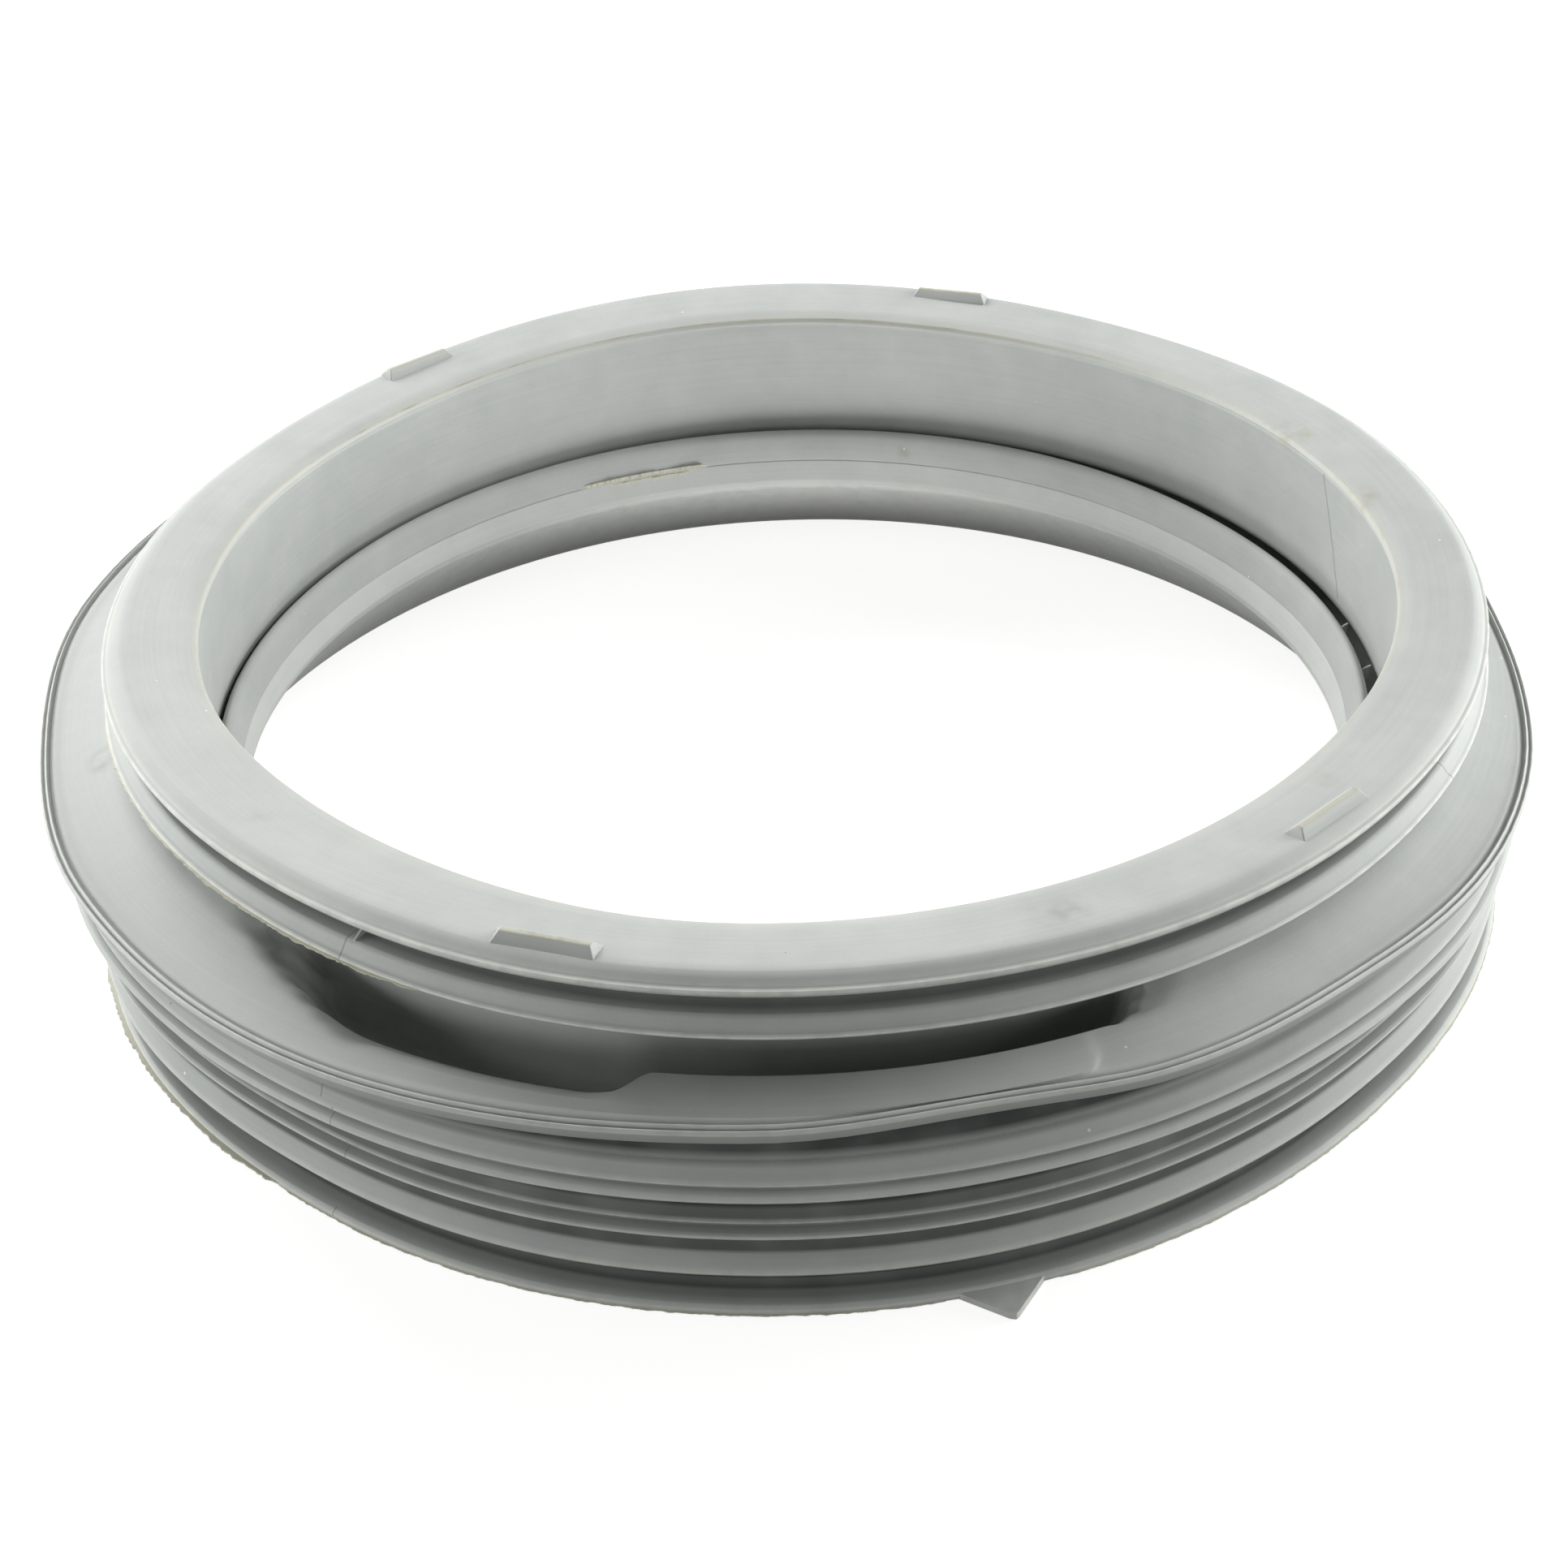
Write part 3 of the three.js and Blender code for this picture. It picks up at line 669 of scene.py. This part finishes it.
def tab_outline(z, grow):
    base = LOWER * cos(radians(6)) - 1
    half = TAB_WIDTH / 2 + grow
    tip = LOWER + TAB_REACH + grow
    return [(base - 3, -half, z), (base, -half, z), (tip - 0.6, -0.9, z), (tip, 0.4, z),
            (tip - 0.5, 1.2, z), (base, half, z), (base - 3, half, z)]


TAB_LEVELS = [tab_outline(0.05, -0.2), tab_outline(FOOT - 0.6, -0.3)]
# Pale paints the tab's top lighter: painted light.
tab = ruled_block("arrow_tab", TAB_ANGLE, TAB_LEVELS, FOOT_LEAN, 0.25, pale=0.6)
print("tab tip at", LOWER + TAB_REACH, "mm")

# %% [markdown]
# ## Ragged flash
# Where the mould halves met, thin rubber squeezed out and tore off unevenly. It is left on the
# foot's edge, on the lower lip and on the door lip. Each strip is a thin band whose outer edge
# has its own reach at every step, drawn from a seeded generator so that it is the same each time.

# %% A torn strip
STRIP_STEP, ROOT_SUNK = 0.14, 0.7


def torn_reach(count, low, high, seed, grain=3):
    """An uneven reach: slow bays with small teeth on top."""
    rng = np.random.default_rng(seed)
    teeth = rng.random(count) ** 2
    knots = np.arange(0, count + 12, 12)
    bays = np.interp(np.arange(count), knots, rng.random(len(knots)))
    soft_teeth = np.convolve(teeth, np.ones(grain) / grain, mode="same")
    fade = np.clip(np.minimum(np.arange(count), np.arange(count)[::-1]) / 10, 0, 1)
    return fade * (low + (high - low) * (0.45 * bays + 0.75 * soft_teeth))


def torn_strip(name, start, end, r, z, lean, low, high, seed, thick,
               drop=0.0, inwards=False, tone=1.0, humps=()):
    count = int((end - start) / STRIP_STEP)
    angle = np.linspace(start, end, count)
    reach = torn_reach(count, low, high, seed)
    shift = waves(angle, humps)
    sign = -1 if inwards else 1
    root = r + shift - sign * ROOT_SUNK
    tip = r + shift + sign * reach
    sag = drop * reach
    section = [(root, z + thick / 2), (tip, z + thick * 0.35 - sag),
               (tip, z - thick * 0.35 - sag), (root, z - thick / 2)]
    if inwards:
        section = section[::-1]
    grid = np.stack([ring_points(a, b + 0 * angle, lean, angle) for a, b in section], axis=1)
    faces = [(3, 2, 1, 0), tuple((count - 1) * 4 + k for k in range(4))] + side_faces(count, 4)
    shade = np.tile([0.5 * tone, tone, tone, 0.5 * tone], count)
    return mesh_piece(name, grid.reshape(-1, 3), faces, shade, 0 * shade, smooth=False)


def foot_flash(name, start, end, z, low, high, seed, thick):
    return torn_strip(name, start, end, LOWER, z, FOOT_LEAN, low, high, seed, thick,
                      tone=0.2, humps=RIB_WAVES)


def door_flash(name, start, end, r, z, low, high, seed, thick, drop):
    return torn_strip(name, start, end, r, z, FOOT_LEAN, low, high, seed, thick, drop, True, tone=0.1)


strips = [
    foot_flash("flash_foot_left", 197, 229, 1.1, 0.5, 1.7, seed=11, thick=0.8),
    foot_flash("flash_foot_front", 229, 279, 0.6, 0.0, 0.6, seed=12, thick=0.5),
    foot_flash("flash_foot_right", 287, 352, 0.6, 0.0, 0.4, seed=13, thick=0.5),
    torn_strip("flash_lip_left", 196, 243, LOW_LIP - 0.1, LOW_LIP_Z - 3.2, TOP_LEAN, 0.1, 1.0,
               seed=14, thick=0.4, drop=0.5, tone=0.05, humps=FLANGE_WAVES),
    door_flash("flash_door_lip", 99.4, 116, DOOR + 0.5, PARTING_Z + 0.2, 0.3, 1.7,
               seed=15, thick=1.5, drop=-0.5),
    door_flash("flash_door_lip_low", 101, 113, DOOR + 0.45, PARTING_Z - 1.1, 0.1, 0.8,
               seed=16, thick=1.2, drop=0.4),
]
print(len(strips), "torn strips")

# %% [markdown]
# ## Small ribs
# Two thin fins cross the groove where the halves of the mould's ring met, and two tiny ribs
# bridge the slot between skirt and door lip. Each is a thin plate across the ring: an outline in
# radius and height, given a thickness along the tangent.

# %% Thin plates across the ring
def cross_plate(name, angle, profile, lean, thick):
    levels = [[(r, along, z) for r, z in profile] for along in (-thick / 2, thick / 2)]
    return ruled_block(name, angle, levels, lean, 0.08)


FIN = [(GROOVE - 0.5, LOW_LIP_Z + 0.2), (GROOVE - 0.5, GROOVE_Z - 0.3), (LIP - 1.2, LIP_Z - 0.3),
       (LIP - 4.0, GROOVE_Z - 1.2), (GROOVE + 1.3, LOW_LIP_Z + 3.0),
       (LOW_LIP - 4.0, LOW_LIP_Z + 0.35), (LOW_LIP - 4.0, LOW_LIP_Z - 0.5)]


def slot_rib(name, angle):
    near = DOOR + DOOR_THICK - 0.6 + float(waves(angle, LIP_WAVES))
    far = MOUTH + SKIRT_FLARE + 1.4
    profile = [(near, DOOR_BOTTOM + 9), (near, DOOR_BOTTOM + 14.5),
               (far, SKIRT_Z + 2.0), (far, SKIRT_Z - 1.5)]
    return cross_plate(name, angle, profile, FOOT_LEAN, 0.6)


ribs = [
    cross_plate("groove_fin_left", 236.5, FIN, TOP_LEAN, 0.5),
    cross_plate("groove_fin_right", 327.5, FIN, TOP_LEAN, 0.5),
    slot_rib("slot_rib_back", 7.9),
    slot_rib("slot_rib_front", 359.8),
]
print(len(ribs), "small ribs")

# %% [markdown]
# ## Where on the ring
# Stains, seams and specks sit at known places on the seal, so the materials need to know where on
# the ring a point lies. This node group turns the object's own coordinates into an angle in
# degrees, a radius and a height in millimetres. Object coordinates stay with the rubber, so
# nothing slides when the camera moves.

# %% Node helpers
VALUE = "NodeSocketFloat"


def new_group(name, inputs, outputs):
    tree = bpy.data.node_groups.new(name, "ShaderNodeTree")
    for label, kind, value in inputs:
        socket = tree.interface.new_socket(name=label, in_out="INPUT", socket_type=kind)
        socket.default_value = value
    for label, kind in outputs:
        tree.interface.new_socket(name=label, in_out="OUTPUT", socket_type=kind)
    return tree, tree.nodes.new("NodeGroupInput"), tree.nodes.new("NodeGroupOutput")


def node(tree, kind, inputs=None, **settings):
    made = tree.nodes.new(kind)
    for key, value in settings.items():
        setattr(made, key, value)
    for key, value in (inputs or {}).items():
        if isinstance(value, bpy.types.NodeSocket):
            tree.links.new(value, made.inputs[key])
        else:
            made.inputs[key].default_value = value
    return made


def calc(tree, operation, a, b=0.0, c=0.0):
    return node(tree, "ShaderNodeMath", {0: a, 1: b, 2: c}, operation=operation).outputs[0]


def times(tree, a, b):
    return calc(tree, "MULTIPLY", a, b)


def plus(tree, a, b):
    return calc(tree, "ADD", a, b)


def minus(tree, a, b):
    return calc(tree, "SUBTRACT", a, b)


def ramp_between(tree, value, low, high, to_low=0.0, to_high=1.0):
    made = node(tree, "ShaderNodeMapRange", {"Value": value, "From Min": low, "From Max": high,
                                             "To Min": to_low, "To Max": to_high},
                interpolation_type="SMOOTHSTEP")
    return made.outputs["Result"]


def blend(tree, share, a, b):
    made = node(tree, "ShaderNodeMix", data_type="RGBA", blend_type="MIX")
    for socket, value in ((made.inputs[0], share), (made.inputs[6], a), (made.inputs[7], b)):
        if isinstance(value, bpy.types.NodeSocket):
            tree.links.new(value, socket)
        else:
            socket.default_value = value
    return made.outputs[2]


def on_object(tree):
    return node(tree, "ShaderNodeTexCoord").outputs["Object"]


def noise(tree, place, scale, detail=2.0, rough=0.55):
    inputs = {"Vector": place, "Scale": scale, "Detail": detail, "Roughness": rough}
    return node(tree, "ShaderNodeTexNoise", inputs).outputs["Fac"]


# %% Place on the ring
ring_place, _, out = new_group("Place on the ring", [], [
    ("Angle", VALUE), ("Radius", VALUE), ("Height", VALUE),
    ("Along", "NodeSocketVector")])
coords = on_object(ring_place)
apart = node(ring_place, "ShaderNodeSeparateXYZ", {0: coords})
lean_x = minus(ring_place, apart.outputs[0], 3.0 * MM)
turn = calc(ring_place, "ARCTAN2", apart.outputs[1], lean_x)
degrees = times(ring_place, turn, 180 / pi)
negative = calc(ring_place, "LESS_THAN", degrees, 0.0)
full = plus(ring_place, degrees, times(ring_place, negative, 360.0))
squares = plus(ring_place, times(ring_place, lean_x, lean_x),
               times(ring_place, apart.outputs[1], apart.outputs[1]))
far = times(ring_place, calc(ring_place, "SQRT", squares), 1000.0)
up = times(ring_place, apart.outputs[2], 1000.0)
along = node(ring_place, "ShaderNodeCombineXYZ", {0: times(ring_place, turn, 1.6), 1: far, 2: up})
for label, value in (("Angle", full), ("Radius", far), ("Height", up), ("Along", along.outputs[0])):
    ring_place.links.new(value, out.inputs[label])
print("group", ring_place.name)

# %% [markdown]
# ## Bloom and mottling
# Rubber sweats out a pale bloom that settles unevenly. Three noises do it: two for cloudy patches
# and a fine one for the grain of the moulded skin. A fourth, stretched along the ring, gives the
# faint drawn lines that a turned mould leaves. All of them give values only, and each material
# sets its own strengths.

# %% Bloom group
bloom, given, out = new_group("Rubber bloom", [
    ("Patches", VALUE, 0.5), ("Lines", VALUE, 0.5), ("Grain", VALUE, 0.5)], [
    ("Cloud", VALUE), ("Relief", VALUE)])
coords = on_object(bloom)
place = node(bloom, "ShaderNodeGroup", node_tree=ring_place)
wide = minus(bloom, noise(bloom, coords, 16.0, 4.0, 0.6), 0.5)
middle = minus(bloom, noise(bloom, coords, 90.0, 2.0, 0.6), 0.5)
drawn = minus(bloom, noise(bloom, place.outputs["Along"], 1.3, 2.0, 0.6), 0.5)
grain = minus(bloom, noise(bloom, coords, 1500.0, 1.0, 0.6), 0.5)
cloud = times(bloom, calc(bloom, "MULTIPLY_ADD", middle, 0.6, wide), given.outputs["Patches"])
cloud = plus(bloom, cloud, times(bloom, drawn, times(bloom, given.outputs["Lines"], 0.5)))
cloud = plus(bloom, cloud, times(bloom, grain, times(bloom, given.outputs["Grain"], 0.3)))
relief = times(bloom, grain, given.outputs["Grain"])
relief = plus(bloom, relief, times(bloom, drawn, given.outputs["Lines"]))
bloom.links.new(cloud, out.inputs["Cloud"])
bloom.links.new(relief, out.inputs["Relief"])
print("group", bloom.name)

# %% [markdown]
# ## Specks and pores
# Up close the rubber shows a few white crumbs of talc and some tiny dark pores. A cell texture
# scatters points, a random number per cell keeps only a few of them, and the distance to the
# point makes a dot of a real size.

# %% Speck group
specks, given, out = new_group("Specks", [
    ("Cells per metre", VALUE, 180.0), ("Kept share", VALUE, 0.1), ("Size", VALUE, 0.06)], [
    ("Dot", VALUE)])
coords = on_object(specks)
per_metre = given.outputs["Cells per metre"]
cells = node(specks, "ShaderNodeTexVoronoi", {"Vector": coords, "Scale": per_metre}, feature="F1")
lottery = node(specks, "ShaderNodeSeparateColor", {0: cells.outputs["Color"]})
kept = calc(specks, "LESS_THAN", lottery.outputs[0], given.outputs["Kept share"])
size = times(specks, given.outputs["Size"], calc(specks, "MULTIPLY_ADD", lottery.outputs[1], 1.2, 0.4))
inside = ramp_between(specks, calc(specks, "DIVIDE", cells.outputs["Distance"], size), 1.0, 0.6)
specks.links.new(times(specks, inside, kept), out.inputs["Dot"])
print("group", specks.name)

# %% [markdown]
# ## Seam lines
# Short lines cross the ring where pieces of the mould met: down the inner wall on the right and
# over the ribs at the front left. A line is a narrow band of angles between two heights. Its
# angle may drift with the height, as the one on the inner wall does.

# %% Seam group
seam, given, out = new_group("Seam line", [
    ("Angle at foot", VALUE, 0.0), ("Drift", VALUE, 0.0), ("Width", VALUE, 0.1),
    ("Low", VALUE, 0.0), ("High", VALUE, 80.0),
    ("Inside", VALUE, 0.0), ("Outside", VALUE, 400.0)], [("Line", VALUE)])
place = node(seam, "ShaderNodeGroup", node_tree=ring_place)
coords = on_object(seam)
wobble = times(seam, minus(seam, noise(seam, coords, 130.0), 0.5), 0.5)
drifted = calc(seam, "MULTIPLY_ADD", place.outputs["Height"], given.outputs["Drift"],
               given.outputs["Angle at foot"])
target = plus(seam, drifted, wobble)
off = calc(seam, "ABSOLUTE", minus(seam, place.outputs["Angle"], target))
line = ramp_between(seam, calc(seam, "DIVIDE", off, given.outputs["Width"]), 1.0, 0.3)
for value, low, high in ((place.outputs["Height"], given.outputs["Low"], given.outputs["High"]),
                         (place.outputs["Radius"], given.outputs["Inside"], given.outputs["Outside"])):
    line = times(seam, line, calc(seam, "GREATER_THAN", value, low))
    line = times(seam, line, calc(seam, "LESS_THAN", value, high))
seam.links.new(line, out.inputs["Line"])
print("group", seam.name)

# %% [markdown]
# ## Grey rubber
# The rubber is a light, slightly green grey with a dull sheen. Its colour starts from the bloom
# group, then takes the painted shade in creases and recesses, the yellowed and brown stains, the
# paler edges, which are pale fins and in places painted light, the seams, the smudges, one of them
# a painted shadow, the crumbs and the pores one after the other. A fine bump gives the grain and
# drawn lines.

# %% Grey rubber material
RUBBER_PALE = (0.60, 0.615, 0.59, 1)
RUBBER_DEEP = (0.465, 0.485, 0.475, 1)
EDGE_AND_LIGHT_TONE = (0.86, 0.86, 0.80, 1)
STAIN_TONE = (0.30, 0.265, 0.165, 1)
YELLOW_TONE = (0.60, 0.575, 0.43, 1)
PORE_TONE = (0.06, 0.065, 0.06, 1)
CREASE_SHADE_TONE = (0.055, 0.058, 0.056, 1)
CRUMB_TONE = (0.86, 0.86, 0.83, 1)
SEAM_TONE = (0.15, 0.16, 0.16, 1)
SMUDGE_AND_SHADOW_TONE = (0.16, 0.16, 0.16, 1)
BROWN_TONE = (0.33, 0.28, 0.16, 1)
FLASH_PALE = (0.66, 0.645, 0.54, 1)
FLASH_DEEP = (0.52, 0.50, 0.40, 1)

SEAM_INPUTS = ("Angle at foot", "Drift", "Width", "Low", "High", "Inside", "Outside")
SEAMS = [
    (5.6, 0.128, 0.20, 44.0, 77.0, 140.0, 154.0),
    (234.35, 0.0, 0.07, 0.0, 3.0, 180.0, 190.0),
    (236.9, 0.0, 0.07, 19.0, 26.0, 176.0, 190.0),
    (237.9, 0.0, 0.07, 35.5, 41.5, 180.0, 190.0),
    (236.8, 0.0, 0.09, 42.5, 50.5, 178.0, 190.0),
    (236.3, 0.0, 0.10, 68.0, 78.5, 160.0, 176.0),
    (327.6, 0.0, 0.10, 68.0, 78.5, 160.0, 176.0),
]
# Each smudge has its angle, radius, height and lean, then its size and its strength.
DARK_SMUDGES_AND_SHADOW = [
    # The first spot is a painted shadow under the lower lip; the other two are dark smudges on the flange.
    (197.5, LOW_LIP + 1.5, SHOULDER_Z - 3, TOP_LEAN, 7, 0.55),
    (288.5, MOUTH + 12, CROWN_Z - 1, TOP_LEAN, 9, 0.30),
    (223, MOUTH + 13, CROWN_Z - 1, TOP_LEAN, 5, 0.25),
]
BROWN_SMUDGES = [
    (74.5, DOOR + 0.4, DOOR_Z - 5, FOOT_LEAN, 3.2, 0.8),
    (8, MOUTH, LIP_Z, TOP_LEAN, 9, 0.6),
    (23, MOUTH + 2, LIP_Z, TOP_LEAN, 9, 0.5),
    (316, MOUTH + 9, CROWN_Z - 1, TOP_LEAN, 6, 0.25),
]


def seam_lines(tree):
    total = None
    for seam_values in SEAMS:
        made = node(tree, "ShaderNodeGroup", dict(zip(SEAM_INPUTS, seam_values)), node_tree=seam)
        total = made.outputs["Line"] if total is None else calc(tree, "MAXIMUM", total, made.outputs["Line"])
    return total


def smudge(tree, angle, r, z, lean, size, power):
    """A soft round spot around one place on the seal, broken up by noise."""
    coords = on_object(tree)
    centre = Vector(on_ring(angle, r, 0, z, lean))
    gap = node(tree, "ShaderNodeVectorMath", {0: coords, 1: centre}, operation="DISTANCE").outputs["Value"]
    spot = ramp_between(tree, gap, size * MM, 0.2 * size * MM)
    broken = ramp_between(tree, noise(tree, coords, 140.0), 0.35, 0.70)
    return times(tree, times(tree, spot, broken), power)


def smudges(tree, spots):
    total = smudge(tree, *spots[0])
    for spot in spots[1:]:
        total = plus(tree, total, smudge(tree, *spot))
    return total


def rubber(name, pale, deep, with_seams=True, roughness=0.56):
    material = bpy.data.materials.new(name)
    material.use_nodes = True
    tree = material.node_tree
    shader = tree.nodes["Principled BSDF"]
    skin = node(tree, "ShaderNodeGroup", {"Patches": 0.38, "Lines": 0.42, "Grain": 0.35}, node_tree=bloom)
    color = blend(tree, ramp_between(tree, skin.outputs["Cloud"], -0.28, 0.22), deep, pale)
    coords = on_object(tree)
    stain, edge, shade_in = (node(tree, "ShaderNodeAttribute", attribute_name=label).outputs["Fac"]
                            for label in ("stain", "edge", "deep"))
    # Painted shade: creases, the pocket, the front shoulder and the inner wall's sides are darkened.
    crease_shade = times(tree, shade_in, ramp_between(tree, noise(tree, coords, 55.0), 0.25, 0.6, 0.82, 0.95))
    color = blend(tree, crease_shade, color, CREASE_SHADE_TONE)
    yellow = times(tree, stain, ramp_between(tree, noise(tree, coords, 30.0), 0.25, 0.6, 0.35, 1.0))
    color = blend(tree, times(tree, yellow, 0.55), color, YELLOW_TONE)
    brown = times(tree, ramp_between(tree, stain, 0.45, 1.0),
                 ramp_between(tree, noise(tree, coords, 75.0, 4.0, 0.65), 0.48, 0.70))
    color = blend(tree, times(tree, brown, 0.65), color, STAIN_TONE)
    # Paler edges: pale moulding edges, and painted light on the web, foot and tab.
    paler_edge_and_light = times(tree, edge, ramp_between(tree, noise(tree, coords, 240.0), 0.3, 0.65, 0.5, 0.95))
    color = blend(tree, paler_edge_and_light, color, EDGE_AND_LIGHT_TONE)
    relief = times(tree, skin.outputs["Relief"], 0.05)
    if with_seams:
        color = blend(tree, times(tree, seam_lines(tree), 0.55), color, SEAM_TONE)
        # Dark smudges, the first of them a painted shadow under the lower lip.
        color = blend(tree, smudges(tree, DARK_SMUDGES_AND_SHADOW), color, SMUDGE_AND_SHADOW_TONE)
        color = blend(tree, smudges(tree, BROWN_SMUDGES), color, BROWN_TONE)
    for tone, per_metre, kept, size in ((CRUMB_TONE, 150.0, 0.16, 0.045), (PORE_TONE, 110.0, 0.10, 0.035)):
        inputs = {"Cells per metre": per_metre, "Kept share": kept, "Size": size}
        dots = node(tree, "ShaderNodeGroup", inputs, node_tree=specks)
        color = blend(tree, times(tree, dots.outputs["Dot"], 0.85), color, tone)
    bump = node(tree, "ShaderNodeBump", {"Height": relief, "Distance": 0.0005, "Strength": 0.6})
    dull = ramp_between(tree, skin.outputs["Cloud"], -0.3, 0.3, roughness - 0.08, roughness + 0.10)
    for socket, value in (("Base Color", color), ("Roughness", dull), ("Normal", bump.outputs["Normal"])):
        tree.links.new(value, shader.inputs[socket])
    # Less sheen where the crease shade is painted.
    tree.links.new(calc(tree, "MULTIPLY_ADD", crease_shade, -0.32, 0.35), shader.inputs["Specular IOR Level"])
    return material


grey_rubber = rubber("grey rubber", RUBBER_PALE, RUBBER_DEEP)
flash_rubber = rubber("yellowed flash", FLASH_PALE, FLASH_DEEP, with_seams=False, roughness=0.5)
print("materials", [m.name for m in (grey_rubber, flash_rubber)])

# %% [markdown]
# ## Who rides on what
# The seal has no joints, so every piece rides on the one body. The swept ring replaces the plain
# CAD solid. The torn strips take the yellowed flash and all other pieces the grey rubber.

# %% Hand the pieces to the frame
pieces = [seal, tab] + blocks + ribs + strips
for piece in pieces:
    piece.data.materials.append(flash_rubber if piece in strips else grey_rubber)
    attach(piece, "root")
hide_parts("door_seal")
print(len(pieces), "pieces")

# %% [markdown]
# ## Floor
# The seal lies on a plain white sheet. The camera should see white, but the seal's own shadow has
# to stay. So for camera, glossy and transmission rays the floor is a part that shines by itself
# and a part that catches light and shadow. For all other rays it is a dim matt sheet, so that
# little light bounces up under the folds and they stay dark, as they are in the photograph.

# %% Build the floor
def plain_sheet(name, half):
    mesh = bpy.data.meshes.new(name)
    corners = [(-half, -half, 0), (half, -half, 0), (half, half, 0), (-half, half, 0)]
    mesh.from_pydata(corners, [], [(0, 1, 2, 3)])
    sheet = linked(name, mesh)
    return sheet


floor = plain_sheet("floor", 4.0)
floor.location.z = -0.0002
white = bpy.data.materials.new("white sheet")
white.use_nodes = True
tree = white.node_tree
tree.nodes.remove(tree.nodes["Principled BSDF"])
matt = node(tree, "ShaderNodeBsdfDiffuse", {"Color": (0.10, 0.10, 0.10, 1)})
seen_matt = node(tree, "ShaderNodeBsdfDiffuse", {"Color": (0.32, 0.32, 0.32, 1)})
glow = node(tree, "ShaderNodeEmission", {"Color": (0.88, 0.88, 0.875, 1), "Strength": 1.0})
seen = node(tree, "ShaderNodeAddShader", {0: seen_matt.outputs[0], 1: glow.outputs[0]})
rays = node(tree, "ShaderNodeLightPath")
shown = calc(tree, "MAXIMUM", rays.outputs["Is Camera Ray"],
             calc(tree, "MAXIMUM", rays.outputs["Is Glossy Ray"], rays.outputs["Is Transmission Ray"]))
final = node(tree, "ShaderNodeMixShader", {0: shown, 1: matt.outputs[0], 2: seen.outputs[0]})
tree.links.new(final.outputs[0], tree.nodes["Material Output"].inputs["Surface"])
floor.data.materials.append(white)
print("floor", floor.dimensions[:2])

# %% [markdown]
# ## Light
# The photograph was lit softly from above, behind and both sides, with little light from the
# front. Three lamps high up behind and beside the seal, four low ones at its sides and a weak one in
# front do that. The bright sheet inside the ring lights the inner wall from below, so a disc lamp
# that the camera can't see lies there. The world fills in a little, and it is seen as plain white.

# %% Lamps and world
def soft_lamp(name, place, size, power, tint=(1, 1, 1), aim=(0, 0, 0.05)):
    data = bpy.data.lights.new(name, "AREA")
    data.shape = "RECTANGLE"
    data.size, data.size_y = size
    data.energy = power
    data.color = tint
    lamp = linked(name, data)
    lamp.location = place
    lamp.rotation_euler = (Vector(aim) - Vector(place)).to_track_quat("-Z", "Y").to_euler()
    return lamp


COOL = (0.975, 1.0, 0.985)
soft_lamp("back lamp", (0, 0.75, 1.3), (2.2, 1.0), 1.7)
soft_lamp("back left lamp", (-0.8, 1.0, 0.9), (0.8, 0.7), 19)
soft_lamp("high right lamp", (1.0, 0.5, 1.0), (1.0, 0.9), 10)
soft_lamp("left lamp", (-1.3, 0.3, 0.35), (1.0, 0.5), 10, COOL)
soft_lamp("right lamp", (1.3, 0.3, 0.35), (1.0, 0.5), 14, COOL)
soft_lamp("low left lamp", (-1.25, -0.4, 0.3), (1.2, 0.6), 6, COOL)
soft_lamp("low right lamp", (1.25, -0.4, 0.3), (1.2, 0.6), 4.5, COOL)
soft_lamp("front lamp", (0, -1.4, 0.3), (1.8, 0.5), 3.4, aim=(0, 0, 0.04))
inner = soft_lamp("light from the sheet inside the ring", (0.003, 0.05, 0.002), (0.17, 0.17), 0.12,
                  aim=(0.003, 0.05, 1))
inner.data.shape = "DISK"
inner.visible_camera = False

world = bpy.data.worlds.new("plain studio")
bpy.context.scene.world = world
world.use_nodes = True
tree = world.node_tree
tree.nodes.clear()
fill = node(tree, "ShaderNodeBackground", {"Color": (0.95, 0.985, 1.0, 1), "Strength": 0.025})
backdrop = node(tree, "ShaderNodeBackground", {"Color": (1, 1, 1, 1), "Strength": 1.0})
rays = node(tree, "ShaderNodeLightPath")
shown = calc(tree, "MAXIMUM", rays.outputs["Is Camera Ray"], rays.outputs["Is Transmission Ray"])
final = node(tree, "ShaderNodeMixShader", {0: shown, 1: fill.outputs[0], 2: backdrop.outputs[0]})
tree.links.new(final.outputs[0], node(tree, "ShaderNodeOutputWorld").inputs["Surface"])
bpy.context.scene.view_settings.view_transform = "Standard"

# %% [markdown]
# ## Camera
# The camera stands low in front of the seal and looks down by about 35 degrees. Its place, its
# small tilt and its lens were worked out from the ellipses that the seal's edges draw in the
# photograph.

# %% Place the camera
EYE = Vector((0.0046, -0.5248, 0.3739))
AHEAD = Vector((-0.00691, 0.82197, -0.56949)).normalized()
RIGHT = Vector((0.99925, -0.01602, -0.03525)).normalized()
UP = RIGHT.cross(AHEAD).normalized()

camera_data = bpy.data.cameras.new("camera")
camera_data.sensor_width = 36.0
camera_data.lens = 54.13
camera_data.clip_start = 0.01
camera = linked("camera", camera_data)
turned = Matrix((RIGHT, UP, -AHEAD)).transposed()
camera.matrix_world = Matrix.Translation(EYE) @ turned.to_4x4()
bpy.context.scene.camera = camera
print("camera at", tuple(round(v, 4) for v in EYE))

# %% [markdown]
# ## Sizes for the record
# The scene is brought up to date once more at the end. The dressed seal has to stay inside the
# CAD model's box.

# %% Finish
bpy.context.view_layer.update()
